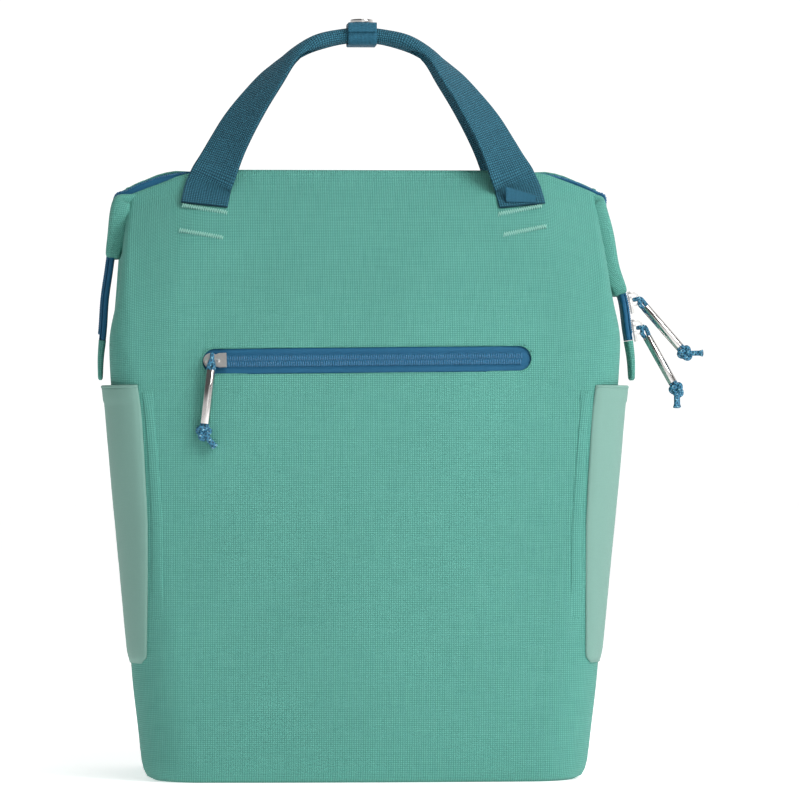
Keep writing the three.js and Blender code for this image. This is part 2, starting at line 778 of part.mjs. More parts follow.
function keeperSnap() {
  const profile = [
    [0, 0],
    [snapRadius * 0.92, 0],
    [snapRadius, snapHeight * 0.3],
    [snapRadius * 0.93, snapHeight * 0.72],
    [snapRadius * 0.7, snapHeight * 0.95],
    [0, snapHeight],
  ].map(([r, z]) => new THREE.Vector2(r, z));
  const geometry = new THREE.LatheGeometry(profile, 16);
  geometry.rotateX(Math.PI / 2);
  geometry.translate(handleCentre, 0, keeperTop + seamGap);
  return geometry;
}

// A folded cloth tab at the foot of the front handle's right leg
function clothTab() {
  const { point, normal } = facePoint(handleHalfSpan, handleFoot - 3);
  const up = vec(0, 0, 1).addScaledVector(normal, -normal.z).normalize();
  const half = 0.5; // cloth thickness
  const loop = [
    { up: 0, out: 1.0 },
    { up: 0.5, out: 3.4 },
    { up: 0.95, out: 5.2 },
    { up: 1.06, out: 5.0 },
    { up: 1.0, out: 4.0 },
    { up: 0.55, out: 1.9 },
  ];
  const foot = point.clone().addScaledVector(normal, webbingThickness * 0.8 + seamGap);
  const centres = loop.map((row) =>
    foot.clone().addScaledVector(up, row.up * tabReach).addScaledVector(normal, row.out - half),
  );
  const curve = new THREE.CatmullRomCurve3(centres);
  const across = vec(1, 0, 0);
  return band(
    centres.map((_, i) => {
      const t = i / (centres.length - 1);
      return {
        centre: curve.getPoint(t).add(vec(handleCentre, 0, 0)),
        across,
        normal: vec(0, 0, 0).crossVectors(curve.getTangent(t), across).normalize(),
        halfWidth: tabWidth / 2,
        thickness: 2 * half,
      };
    }),
  );
}

// A round cord swept along points
function cord(points, radius, sides, steps) {
  const curve = new THREE.CatmullRomCurve3(points, false, "centripetal");
  const frames = curve.computeFrenetFrames(steps, false);
  const rings = frames.tangents.map((_, i) => {
    const centre = curve.getPointAt(i / steps);
    return Array.from({ length: sides }, (_unused, k) => {
      const angle = (k / sides) * 2 * Math.PI;
      return centre
        .clone()
        .addScaledVector(frames.normals[i], radius * Math.cos(angle))
        .addScaledVector(frames.binormals[i], radius * Math.sin(angle));
    });
  });
  return loft(rings);
}

// A slider in its own frame: it runs along X on the chain, its round nose at -X, and stands up along Z
const crownShift = -1.6;
const crownReach = 4.8;

function sliderGeometry() {
  const plateShape = new THREE.Shape();
  const half = sliderLength / 2;
  const nose = sliderWidth / 2;
  const tail = nose * 0.94;
  plateShape.moveTo(half, -tail);
  plateShape.lineTo(half, tail);
  plateShape.lineTo(half * 0.35, tail);
  plateShape.lineTo(half * 0.1, nose * 0.8);
  plateShape.absarc(nose - half, 0, nose, Math.PI * 0.27, Math.PI * 1.73);
  plateShape.lineTo(half * 0.1, -nose * 0.8);
  plateShape.lineTo(half * 0.35, -tail);
  const options = { depth: sliderPlate, bevelEnabled: false, curveSegments: 14 };
  const plate = new THREE.ExtrudeGeometry(plateShape, options);
  const crownShape = new THREE.Shape();
  const inner = crownReach - crownThickness;
  const foot = sliderPlate / 2;
  crownShape.moveTo(-crownReach, foot);
  crownShape.lineTo(-crownReach, crownRise * 0.66);
  crownShape.lineTo(-crownReach * 0.62, crownRise);
  crownShape.lineTo(crownReach * 0.62, crownRise);
  crownShape.lineTo(crownReach, crownRise * 0.66);
  crownShape.lineTo(crownReach, foot);
  crownShape.lineTo(inner, foot);
  crownShape.lineTo(inner, crownRise * 0.55);
  crownShape.lineTo(inner * 0.7, crownRise - crownThickness);
  crownShape.lineTo(-inner * 0.7, crownRise - crownThickness);
  crownShape.lineTo(-inner, crownRise * 0.55);
  crownShape.lineTo(-inner, foot);
  const crown = new THREE.ExtrudeGeometry(crownShape, { depth: crownWidth, bevelEnabled: false });
  crown.rotateX(Math.PI / 2);
  crown.translate(crownShift, crownWidth / 2, 0);
  return joined([plate, crown]);
}

// A pull in its own frame: the cord's loop goes round the crown's bridge at the origin and hangs along
// -Z, through the metal tube to a knot and two tails
const loopDrop = 7.4; // bridge to the tube's mouth
const strandGap = 0.15;

function tubeGeometry() {
  const inner = tubeRadius - tubeWall;
  const chamfer = tubeWall * 0.5;
  const profile = [
    [inner, 0],
    [tubeRadius - chamfer, 0],
    [tubeRadius, chamfer],
    [tubeRadius, tubeLength - chamfer],
    [tubeRadius - chamfer, tubeLength],
    [inner, tubeLength],
    [inner, 0],
  ].map(([r, z]) => new THREE.Vector2(r, z - tubeLength - loopDrop));
  const geometry = new THREE.LatheGeometry(profile, 12);
  geometry.rotateX(Math.PI / 2);
  return geometry;
}

function pullCordGeometry(tailTurn, top) {
  const strand = cordRadius + strandGap / 2;
  const room = Math.hypot(crownThickness, crownWidth) / 2 + seamGap * 2 + cordRadius;
  const knotHeight = -(loopDrop + tubeLength + knotRadius + knotCord + seamGap);
  const loop = cord(
    [
      vec(0, -strand, knotHeight),
      vec(0, -strand, -loopDrop),
      vec(0, -room * 0.95, -loopDrop * 0.5),
      vec(0, -room, 0).addScaledVector(top, -room * 0.35),
      vec(0, -room * 0.75, 0).addScaledVector(top, room * 0.7),
      top.clone().multiplyScalar(room),
      vec(0, room * 0.75, 0).addScaledVector(top, room * 0.7),
      vec(0, room, 0).addScaledVector(top, -room * 0.35),
      vec(0, room * 0.95, -loopDrop * 0.5),
      vec(0, strand, -loopDrop),
      vec(0, strand, knotHeight),
    ],
    cordRadius,
    6,
    20,
  );
  const wrap = new THREE.TorusGeometry(knotRadius, knotCord, 6, 10);
  wrap.rotateX(0.5);
  wrap.rotateY(0.4);
  wrap.translate(0, 0, knotHeight);
  const core = new THREE.SphereGeometry(knotRadius * 1.12, 8, 6);
  core.translate(0, 0, knotHeight);
  const turn = THREE.MathUtils.degToRad(tailTurn);
  const away = vec(Math.sin(turn), 0, -Math.cos(turn));
  const tails = [-1, 1].map((way) => {
    const reach = (share, splay) =>
      vec(0, way * splay, knotHeight).addScaledVector(
        away,
        knotRadius * 0.4 + share * (tailLength + knotCord),
      );
    return cord([reach(0, 0.9), reach(0.5, 1.4), reach(1, 2.1)], cordRadius * 1.15, 6, 3);
  });
  return joined([loop, wrap, core, ...tails]);
}

// The front pocket's zip parts that lie in its window
function frontZipParts() {
  const floor = -frontZipRecess + seamGap;
  const tapeTop = floor + tapeThickness;
  const margin = 2 * seamGap;
  const tape = frontStadium(frontZipLength - margin, frontZipWidth - margin, floor, tapeTop);
  const coilLength = frontZipLength - frontZipWidth * 0.7;
  const coilBottom = tapeTop + seamGap;
  const coil = frontStadium(coilLength, coilWidth, coilBottom, coilBottom + coilHeight * 0.6);
  return { tape, coil, coilTop: coilBottom + coilHeight * 0.6 };
}

// Shoulder strap: a padded band above, webbing and a ladder buckle below
function strapCurve(side) {
  const flip = flipOf(side);
  const top = facePoint(strapHalfSpacing, strapTop, -1).point;
  const foot = facePoint(strapFootSpacing, strapFoot, -1).point;
  const back = facePoint(0, halfDepth * 2, -1).point.y;
  const points = strapLine.map((row) => {
    const height = lerp(strapTop, strapFoot, row.down);
    const x = lerp(strapHalfSpacing, strapFootSpacing, row.out);
    const surface = facePoint(x, height, -1).point.y;
    const rest = lerp(surface, back, smooth(0, 1, row.bow));
    const lift = strapPadding / 2 + seamGap;
    return vec(x * flip, rest + lift + row.bow * strapReach, lerp(top.z, foot.z, row.down));
  });
  return new THREE.CatmullRomCurve3(points, false, "centripetal");
}

function alongStrap(side, start, end, count, halfWidthAt, thicknessAt, liftAt) {
  const curve = strapCurve(side);
  return Array.from({ length: count }, (_, i) => {
    const t = i / (count - 1);
    const share = lerp(start, end, t);
    const tangent = curve.getTangentAt(share);
    const across = vec(1, 0, 0).addScaledVector(tangent, -tangent.x).normalize();
    const normal = vec(0, 0, 0).crossVectors(across, tangent).normalize();
    if (normal.y < 0) normal.negate();
    return {
      centre: curve.getPointAt(share).addScaledVector(normal, liftAt(t)),
      across,
      normal,
      halfWidth: halfWidthAt(t),
      thickness: thicknessAt(t),
    };
  });
}

// Shares along the strap
const padEnd = 0.6;
const buckleShare = 0.66;

function strapPad(side) {
  const half = (t) => (strapWidth / 2) * (1 - 0.42 * smooth(0.62, 1, t) - 0.1 * (1 - smooth(0, 0.2, t)));
  const thick = (t) => strapPadding * (0.55 + 0.45 * Math.sin(Math.PI * clamp(t * 1.1, 0.04, 0.96)));
  return band(alongStrap(side, 0.004, padEnd, 14, half, thick, () => 0), 0.5);
}

// The buckle's plate lies along the strap, with two slots
function buckle(side) {
  const [station] = alongStrap(side, buckleShare, buckleShare + 0.01, 2, () => 0, () => 0, () => 0);
  const width = strapWebbing + 2 * buckleBar + 1;
  const slot = (buckleHeight - 3 * buckleBar) / 2;
  const frame = keeperShape(width / 2, -buckleHeight / 2, buckleHeight / 2, 2);
  for (const way of [-1, 1]) {
    const low = way < 0 ? -buckleHeight / 2 + buckleBar : buckleBar / 2;
    frame.holes.push(keeperShape((strapWebbing + 1) / 2, low, low + slot, 0.6));
  }
  const geometry = new THREE.ExtrudeGeometry(frame, {
    depth: buckleThickness,
    bevelEnabled: false,
    curveSegments: 2,
  });
  geometry.translate(0, 0, -buckleThickness / 2);
  const down = vec(0, 0, 0).crossVectors(station.normal, station.across).normalize();
  const basis = new THREE.Matrix4().makeBasis(station.across, down, station.normal);
  geometry.applyMatrix4(basis.setPosition(station.centre));
  return { geometry, station, slot };
}

// Webbing through points given as the way down the strap from the buckle's middle and out from it
function strapRibbon(side, points, half) {
  const curve = strapCurve(side);
  const length = curve.getLength();
  const [hub] = alongStrap(side, buckleShare, buckleShare + 0.01, 2, () => 0, () => 0, () => 0);
  const along = vec(0, 0, 0).crossVectors(hub.across, hub.normal).normalize();
  if (along.z > 0) along.negate();
  const centres = points.map(({ down, out, free = 0 }) => {
    const straight = hub.centre.clone().addScaledVector(along, down).addScaledVector(hub.normal, out);
    const share = clamp(buckleShare + down / length, 0, 1);
    const [near] = alongStrap(side, share, share, 2, () => 0, () => 0, () => 0);
    const curved = near.centre.addScaledVector(near.normal, out);
    const blend = smooth(buckleHeight * 0.6, buckleHeight * 1.3, Math.abs(down)) * (1 - free);
    return straight.lerp(curved, blend);
  });
  return band(
    centres.map((centre, i) => {
      const before = centres[Math.max(i - 1, 0)];
      const after = centres[Math.min(i + 1, centres.length - 1)];
      const tangent = after.clone().sub(before).normalize();
      return {
        centre,
        across: hub.across,
        normal: vec(0, 0, 0).crossVectors(hub.across, tangent).normalize(),
        halfWidth: half,
        thickness: webbingThickness,
      };
    }),
  );
}

const barClear = buckleThickness / 2 + webbingThickness / 2 + 2.5 * seamGap; // webbing's middle to the bar's
const turnReach = webbingThickness / 2 + 1.6 * seamGap; // a turn's middle past the bar's edge

// A turn of webbing round a bar's edge; way is -1 where it goes round the upper edge
function turnPoints(edge, way) {
  return [
    { down: edge - way * 0.9, out: -barClear },
    { down: edge + way * turnReach * 0.5, out: -barClear * 0.87 },
    { down: edge + way * turnReach, out: -barClear * 0.45 },
    { down: edge + way * turnReach, out: barClear * 0.45 },
    { down: edge + way * turnReach * 0.5, out: barClear * 0.87 },
    { down: edge - way * 0.9, out: barClear },
  ];
}

// The loop that holds the buckle's top bar clasps the pad's end on both faces
function strapLoop(side) {
  const length = strapCurve(side).getLength();
  const padFoot = -(buckleShare - padEnd) * length;
  const clasp = strapPadding * 0.36 + webbingThickness / 2 + 3 * seamGap;
  const edge = -buckleHeight / 2 + buckleBar;
  const points = [
    { down: padFoot - claspLength, out: -clasp },
    { down: padFoot - claspLength / 2, out: -clasp },
    { down: padFoot, out: -clasp },
    { down: padFoot + 4, out: -(clasp + barClear) / 2 },
    ...turnPoints(edge, 1),
    { down: padFoot + 4, out: (clasp + barClear) / 2 },
    { down: padFoot, out: clasp },
    { down: padFoot - claspLength / 2, out: clasp },
    { down: padFoot - claspLength, out: clasp },
  ];
  return strapRibbon(side, points, strapWebbing / 2);
}

// The webbing from the base's corner goes up behind the buckle, over its middle bar, and its tail
// hangs down in front
function strapWeb(side) {
  const length = strapCurve(side).getLength();
  const run = (1 - buckleShare) * length;
  const flat = -(strapPadding / 2 - webbingThickness / 2 - 4 * seamGap);
  const points = [
    { down: run, out: flat },
    { down: run * 0.93, out: flat },
    { down: run * 0.85, out: flat * 0.9 },
    { down: run * 0.76, out: flat * 0.75 },
    { down: run * 0.6, out: flat * 0.75 },
    { down: run * 0.4, out: flat * 0.85 },
    { down: buckleHeight * 0.75, out: -barClear },
    { down: buckleHeight * 0.5, out: -barClear },
    ...turnPoints(-buckleBar / 2, -1),
    { down: buckleHeight * 0.5, out: barClear },
    { down: buckleHeight, out: barClear * 1.1, free: 1 },
    { down: run * 0.5, out: barClear * 1.5, free: 1 },
    { down: run * 0.72, out: barClear * 2.4, free: 1 },
  ];
  return strapRibbon(side, points, strapWebbing / 2);
}

// A strip of cloth across the back holds the straps' tops
function strapYoke() {
  const half = strapHalfSpacing + strapWidth * 0.62;
  const low = strapTop + 2.5 * seamGap + 1;
  const rows = [0, 0.5, 1].map((share) => low + share * yokeHeight);
  const yokeColumns = 14;
  const columns = Array.from({ length: yokeColumns + 1 }, (_, i) => lerp(-half, half, i / yokeColumns));
  const grid = (lift) =>
    rows.map((height) =>
      columns.map((x) => {
        const { point, normal } = facePoint(x, height, -1);
        return point.addScaledVector(normal, lift + 2 * seamGap);
      }),
    );
  return sheet(grid(yokeThickness), grid(0));
}

// The materials
const material = (name, color, roughness, metalness = 0) =>
  new THREE.MeshStandardMaterial({ name, color, roughness, metalness });
const bodyCloth = material("body_cloth", bodyGreen, 0.75);
const pocketStretch = material("pocket_cloth", pocketGreen, 0.6);
const webbingCloth = material("webbing", webbingBlue, 0.7);
const zipCloth = material("zip_cloth", zipBlue, 0.55);
const metal = material("metal", metalSilver, 0.2, 1);
const plastic = material("buckle_plastic", 0x1b4a63, 0.4);

const backpack = new THREE.Group();

function addPiece(name, geometry, finish, parent = backpack) {
  const mesh = new THREE.Mesh(geometry, finish);
  mesh.name = name;
  parent.add(mesh);
  return mesh;
}

addPiece("base_panel", basePanel(), bodyCloth);
addPiece("front_panel", frontPanel(), bodyCloth);
addPiece("back_panel", facePanel(-1), bodyCloth);
for (const side of ["left", "right"]) {
  addPiece(`side_panel_${side}`, sidePanel(flipOf(side)), bodyCloth);
  addPiece(`pocket_${side}`, sidePocket(side), pocketStretch);
  addPiece(`end_fold_${side}`, endFold(side), bodyCloth);
  addPiece(`zip_end_${side}`, zipEnd(side), zipCloth);
  addPiece(`end_tab_${side}`, endTab(side), bodyCloth);
}
addPiece("main_zip_tape", mainTape(), zipCloth);
addPiece("main_zip_coil", mainCoil(), zipCloth);
addPiece("handle_front", handle(1), webbingCloth);
addPiece("handle_back", handle(-1), webbingCloth);
addPiece("handle_keeper", keeper(), webbingCloth);
addPiece("keeper_snap", keeperSnap(), metal);
addPiece("handle_tab", clothTab(), zipCloth);

const frontZip = frontZipParts();
addPiece("front_zip_tape", frontZip.tape, zipCloth);
addPiece("front_zip_coil", frontZip.coil, zipCloth);

// A slider on a zip, with its pull hanging from the crown
function addSlider(name, seat, along, out, hang, tailTurn) {
  const slider = new THREE.Group();
  const side = vec(0, 0, 0).crossVectors(out, along).normalize();
  slider.applyMatrix4(new THREE.Matrix4().makeBasis(along, side, out).setPosition(seat));
  addPiece(`${name}_slider`, sliderGeometry(), metal, slider);
  backpack.add(slider);
  const bridge = seat
    .clone()
    .addScaledVector(out, crownRise - crownThickness / 2)
    .addScaledVector(along, crownShift);
  const pull = new THREE.Group();
  const up = hang.clone().normalize().negate();
  const wrap = up.clone().addScaledVector(along, -along.dot(up)).normalize();
  const back = vec(0, 0, 0).crossVectors(wrap, along).normalize();
  const right = vec(0, 0, 0).crossVectors(back, up).normalize();
  const top = vec(wrap.dot(right), 0, wrap.dot(up));
  pull.applyMatrix4(new THREE.Matrix4().makeBasis(right, back, up).setPosition(bridge));
  addPiece(`${name}_pull_cord`, pullCordGeometry(tailTurn, top), webbingCloth, pull);
  addPiece(`${name}_pull_tube`, tubeGeometry(), metal, pull);
  backpack.add(pull);
}

const frontSliderX = frontZipCentre - frontZipLength / 2 + 8.5;
const frontSeat = facePoint(frontSliderX, frontZipHeight + frontSliderX * frontZipSlope);
const hangTo = facePoint(frontSliderX - 5, frontZipHeight - tubeLength - loopDrop);
const frontSliderSeat = frontSeat.point.clone().addScaledVector(frontSeat.normal, frontZip.coilTop + seamGap);
const tubeFoot = hangTo.point.clone().addScaledVector(hangTo.normal, tubeRadius + 1.6);
addSlider(
  "front",
  frontSliderSeat,
  vec(1, 0, frontZipSlope).normalize(),
  frontSeat.normal,
  tubeFoot.clone().sub(frontSliderSeat.clone().addScaledVector(frontSeat.normal, crownRise)),
  45,
);

// The main zip's two sliders, parked near its right end
const mainSliders = [
  { name: "main_upper", drop: 0.585, hang: vec(0.65, -0.1, -0.76), tail: -50 },
  { name: "main_lower", drop: 0.735, hang: vec(0.48, -0.12, -0.88), tail: 29 },
];
for (const row of mainSliders) {
  const curve = zipLine("right");
  const share = lineShare(curve, row.drop);
  const tangent = curve.getTangentAt(share);
  const out = vec(-tangent.z, 0, tangent.x);
  const lift = tapeThickness / 2 + coilHeight + 2.9 * seamGap;
  addSlider(row.name, curve.getPointAt(share).addScaledVector(out, lift), tangent, out, row.hang, row.tail);
}

addPiece("strap_yoke", strapYoke(), webbingCloth);
for (const side of ["left", "right"]) {
  addPiece(`strap_pad_${side}`, strapPad(side), bodyCloth);
  addPiece(`strap_buckle_${side}`, buckle(side).geometry, plastic);
  addPiece(`strap_loop_${side}`, strapLoop(side), webbingCloth);
  addPiece(`strap_web_${side}`, strapWeb(side), webbingCloth);
}

export default backpack;
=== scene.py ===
# %% [markdown]
# A soft-sided cooler backpack in sea green with petrol blue webbing and zips, lit as a studio product
# shot. The bag stands on its own base: padded walls lean in to a zipped ridge, the zip's ends fold down
# over the sides, and a pair of webbing handles is held together by a snapped keeper.
#
# Every size is in metres. The object faces -Y, +Z is up, and the origin is the middle of its underside.

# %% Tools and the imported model
import math

import bpy
import numpy as np
from mathutils import Matrix, Vector


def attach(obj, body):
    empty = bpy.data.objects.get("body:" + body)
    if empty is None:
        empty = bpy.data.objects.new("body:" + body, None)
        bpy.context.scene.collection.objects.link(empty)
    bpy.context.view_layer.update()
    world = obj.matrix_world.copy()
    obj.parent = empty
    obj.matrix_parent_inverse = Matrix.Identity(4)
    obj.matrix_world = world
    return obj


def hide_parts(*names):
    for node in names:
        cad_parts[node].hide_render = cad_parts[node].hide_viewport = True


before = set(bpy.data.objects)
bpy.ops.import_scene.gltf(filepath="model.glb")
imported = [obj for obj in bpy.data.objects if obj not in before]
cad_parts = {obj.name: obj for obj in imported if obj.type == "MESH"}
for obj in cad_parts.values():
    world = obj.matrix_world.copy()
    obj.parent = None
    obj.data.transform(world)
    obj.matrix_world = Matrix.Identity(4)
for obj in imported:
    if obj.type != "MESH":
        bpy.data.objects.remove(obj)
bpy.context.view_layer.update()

# %% [markdown]
# The bag's own sizes come first. The walls are one soft shell, so they are described the way a pattern
# cutter would: sections up the bag, each with a half width, a half depth, a corner radius, how far the
# padded front stands proud of its corners and how far the side is pulled in. The columns are shares of
# the sizes above them, so that the whole bag can be made wider or taller in one place.

# %% Body sizes
MM = 0.001
ridge_height = 401 * MM
half_width = 167 * MM
half_depth = 94 * MM
corner_radius = 38 * MM
front_bulge = 7 * MM
side_dent = 14 * MM
ridge_half_length = 162 * MM
ridge_flat = 121 * MM
ridge_drop = 15.5 * MM
wall_thickness = 6 * MM
rim_thickness = 2.5 * MM

# height, width, depth, corner, bulge, dent
wall_sections = np.array([
    (0.0, 0.825, 0.88, 0.86, 0.3, 0.0),
    (0.006, 0.853, 0.928, 0.95, 0.42, 0.0),
    (0.016, 0.866, 0.95, 0.98, 0.5, 0.0),
    (0.0306, 0.875, 0.962, 1.0, 0.55, 0.02),
    (0.08, 0.888, 0.98, 1.0, 0.75, 0.06),
    (0.165, 0.911, 0.99, 0.97, 0.9, 0.12),
    (0.34, 0.942, 1.0, 0.9, 1.0, 0.32),
    (0.52, 0.971, 0.99, 0.76, 1.0, 0.56),
    (0.6, 0.983, 0.96, 0.68, 1.0, 0.66),
    (0.665, 0.995, 0.915, 0.58, 0.95, 0.76),
    (0.73, 1.0, 0.845, 0.46, 0.9, 0.9),
    (0.79, 0.99, 0.745, 0.36, 0.8, 1.0),
    (0.845, 0.978, 0.61, 0.29, 0.65, 0.92),
    (0.9, 0.965, 0.45, 0.24, 0.5, 0.66),
    (0.945, 0.952, 0.305, 0.21, 0.35, 0.34),
    (0.978, 0.944, 0.195, 0.18, 0.15, 0.1),
    (1.0, 0.94, 0.14, 0.16, 0.0, 0.0),
])
section_units = np.array([half_width, half_depth, corner_radius, front_bulge, side_dent])


def smooth_step(low, high, x):
    t = min(max((x - low) / (high - low), 0.0), 1.0)
    return t * t * (3 - 2 * t)


def lerp(a, b, t):
    return a + (b - a) * t


def wall_section(height):
    """Half width, half depth, corner, bulge and dent of the walls at a height, on a smooth line."""
    share = min(max(height / ridge_height, 0.0), 1.0)
    stations = wall_sections[:, 0]
    at = int(min(max(np.searchsorted(stations, share), 1), len(stations) - 1))
    t = (share - stations[at - 1]) / (stations[at] - stations[at - 1])
    straight = lerp(wall_sections[at - 1], wall_sections[at], t)[1:]
    if share < 0.05:
        return straight * section_units
    rows = wall_sections[[max(at - 2, 0), at - 1, at, min(at + 1, len(stations) - 1)]]
    slope_low = (rows[2] - rows[0]) / max(rows[2, 0] - rows[0, 0], 1e-6)
    slope_high = (rows[3] - rows[1]) / max(rows[3, 0] - rows[1, 0], 1e-6)
    span = rows[2, 0] - rows[1, 0]
    curve = (
        (2 * t**3 - 3 * t**2 + 1) * rows[1]
        + (t**3 - 2 * t**2 + t) * span * slope_low
        + (3 * t**2 - 2 * t**3) * rows[2]
        + (t**3 - t**2) * span * slope_high
    )
    return curve[1:] * section_units


def lowered(x, height):
    """The ridge slopes down towards its ends and takes the upper walls with it."""
    along = min(max((abs(x) - ridge_flat) / (ridge_half_length - ridge_flat), 0.0), 1.2)
    return height - ridge_drop * along**1.25 * smooth_step(0.6 * ridge_height, ridge_height, height)


def quarter_point(height, share, inset=0.0):
    """A point from the front's middle (share 0) round a corner (1 to 2) to the side's middle (3)."""
    width, depth, corner, bulge, dent = wall_section(height)
    width, depth, corner = width - inset, depth - inset, max(corner - inset, 0.0012)
    flat, side = width - corner, depth - corner
    turn = min(max(share - 1, 0.0), 1.0) * math.pi / 2
    x = flat + corner * math.sin(turn)
    y = side + corner * math.cos(turn)
    if share < 1:
        x = flat * share
        y = depth + bulge * (1 - share**2)
    elif share > 2:
        x = width - dent * (1 - (3 - share) ** 2)
        y = side * (3 - share)
    return Vector((x, -y, lowered(x, height)))


def face_point(x, height, back=False):
    """A point on the front or back face and the way the face looks there."""
    def at(px, h):
        width, _, corner, _, _ = wall_section(h)
        point = quarter_point(h, abs(px) / (width - corner))
        return Vector((px, -point.y if back else point.y, lowered(px, h)))
    step = 1 * MM
    across = at(x + step, height) - at(x - step, height)
    up = at(x, height + step) - at(x, height - step)
    normal = across.cross(up).normalized()
    return at(x, height), -normal if back else normal


print("widest section", [round(float(v) / MM, 1) for v in wall_section(0.73 * ridge_height)], "mm")

# %% [markdown]
# The photograph was taken with a long lens from the height of the bag's middle and a touch to its
# left. A long lens keeps the sides nearly parallel, so the camera stands three metres away. Its place
# is found from the angle at which it sees the foot of the front, and it looks almost level from there.

# %% Camera
camera_azimuth = math.radians(-2.5)
camera_elevation = math.radians(4.5)
camera_distance = 3.0
front_foot = Vector((0, -95 * MM, 0))
look_azimuth = math.radians(-2.9)
look_elevation = math.radians(-0.24)
camera_lens = 208.2


def sight_line(azimuth, elevation):
    level = math.cos(elevation)
    return Vector((-math.sin(azimuth) * level, math.cos(azimuth) * level, -math.sin(elevation)))


ahead = sight_line(look_azimuth, look_elevation)
rightwards = Vector((math.cos(look_azimuth), math.sin(look_azimuth), 0))
upwards = rightwards.cross(ahead)
camera_data = bpy.data.cameras.new("studio_camera")
camera = bpy.data.objects.new("studio_camera", camera_data)
bpy.context.scene.collection.objects.link(camera)
camera_data.lens = camera_lens
camera_data.clip_end = 50
turn = Matrix((rightwards, upwards, -ahead)).transposed()
camera_place = front_foot - sight_line(camera_azimuth, camera_elevation) * camera_distance
camera.matrix_world = Matrix.Translation(camera_place) @ turn.to_4x4()
bpy.context.scene.camera = camera
print("camera at", [round(v, 3) for v in camera.location], "lens", round(camera_data.lens, 1))

# %% [markdown]
# Materials and the sky are both small networks of shader nodes. One helper makes a node, sets it up and
# joins its inputs, so that a network reads from top to bottom like a sum.

# %% Shader nodes
def node(tree, kind, inputs=None, **settings):
    """A shader node with its settings and inputs; an input is a value or another node's output."""
    made = tree.nodes.new("ShaderNode" + kind)
    for key, value in settings.items():
        setattr(made, key, value)
    for key, value in (inputs or {}).items():
        if isinstance(value, bpy.types.NodeSocket):
            tree.links.new(value, made.inputs[key])
        else:
            made.inputs[key].default_value = value
    return made


def maths(tree, operation, a, b=0.0, c=0.0):
    return node(tree, "Math", {0: a, 1: b, 2: c}, operation=operation).outputs[0]


# %% [markdown]
# Soft goods look best under large soft lights. One broad light stands high on the right, so that the
# front is lit at a slant: its weave shows and its left edge falls into shade. A weak light in front
# fills the shade and a strip above picks out the ridge and handles. The surroundings are pale, and
# whiter behind the bag than in front of it, as with a lit paper backdrop, with a pale band of studio
# wall all round. The darker front is what polished steel needs to look like steel, since it only shows
# what stands round it.

# %% Floor and light
bpy.ops.object.select_all(action="DESELECT")
bpy.ops.mesh.primitive_plane_add(size=14, location=(0, 3, 0))
floor = bpy.context.object
floor.name = "studio_floor"
floor_paint = bpy.data.materials.new("floor_paint")
floor_paint.use_nodes = True
floor_shader = floor_paint.node_tree.nodes["Principled BSDF"]
floor_shader.inputs["Base Color"].default_value = (0.92, 0.92, 0.92, 1)
floor_shader.inputs["Roughness"].default_value = 0.8
floor_shader.inputs["Emission Color"].default_value = (1, 1, 1, 1)
floor_shader.inputs["Emission Strength"].default_value = 0.56
floor.data.materials.append(floor_paint)

world = bpy.data.worlds.new("studio")
bpy.context.scene.world = world
world.use_nodes = True
sky = world.node_tree
direction = node(sky, "TexCoord").outputs["Generated"]
towards_paper = node(sky, "VectorMath", {0: direction, 1: (0.3, 1, 0)}, operation="DOT_PRODUCT")
from_level = maths(sky, "ABSOLUTE", node(sky, "SeparateXYZ", {0: direction}).outputs["Z"])


def brightness(value, low, high, at_low, at_high):
    """A brightness that goes softly from one value to another between two bounds."""
    ends = {"From Min": low, "From Max": high, "To Min": at_low, "To Max": at_high}
    return node(sky, "MapRange", {"Value": value, **ends}, interpolation_type="SMOOTHSTEP").outputs["Result"]


paper = brightness(towards_paper.outputs["Value"], -0.1, 0.75, 0.12, 1.08)
studio_walls = brightness(from_level, 0.08, 0.3, 0.8, 0.12)
sky.links.new(maths(sky, "MAXIMUM", paper, studio_walls), sky.nodes["Background"].inputs["Strength"])
sky.nodes["Background"].inputs["Color"].default_value = (1, 1, 1, 1)
bpy.context.scene.view_settings.view_transform = "Standard"


def soft_light(name, place, target, size, power):
    data = bpy.data.lights.new(name, "AREA")
    data.shape = "RECTANGLE"
    data.size, data.size_y = size
    data.energy = power
    lamp = bpy.data.objects.new(name, data)
    bpy.context.scene.collection.objects.link(lamp)
    lamp.location = place
    lamp.rotation_mode = "QUATERNION"
    lamp.rotation_quaternion = (Vector(target) - Vector(place)).to_track_quat("-Z", "Y")


soft_light("key_light", (0.95, -0.95, 1.0), (0, 0, 0.27), (0.6, 0.7), 13.5)
soft_light("fill_light", (0.6, -2.6, 0.4), (0, 0, 0.15), (1.2, 1.4), 3)
soft_light("top_light", (0.45, -0.75, 1.7), (0, 0, 0.36), (1.2, 0.7), 13)
print("three lights and a floor")

# %% [markdown]
# The walls are a heavy plain-weave polyester with a thin matt coating. Seen close, the threads cross
# over and under, and each crossing is a small bump, painted lighter on its top with painted shade in
# the gaps between; seen from afar they give a fine grain. The weave is worked out from the piece's UV
# map, which holds real lengths, so that threads follow the cloth round its bends. A painted picture of
# cloth would blur and repeat; this stays sharp at any distance.

# %% Woven cloth
def mixed(tree, amount, a, b, blend="MIX"):
    made = node(tree, "Mix", data_type="RGBA", blend_type=blend)
    for key, value in ((0, amount), (6, a), (7, b)):
        if isinstance(value, bpy.types.NodeSocket):
            tree.links.new(value, made.inputs[key])
        else:
            made.inputs[key].default_value = value
    return made.outputs[2]


def rgb(text):
    """A colour as it shows on a screen, such as 5aa999, in Blender's linear values."""
    shown = [int(text[i:i + 2], 16) / 255 for i in (0, 2, 4)]
    return (*[c / 12.92 if c < 0.04045 else ((c + 0.055) / 1.055) ** 2.4 for c in shown], 1)


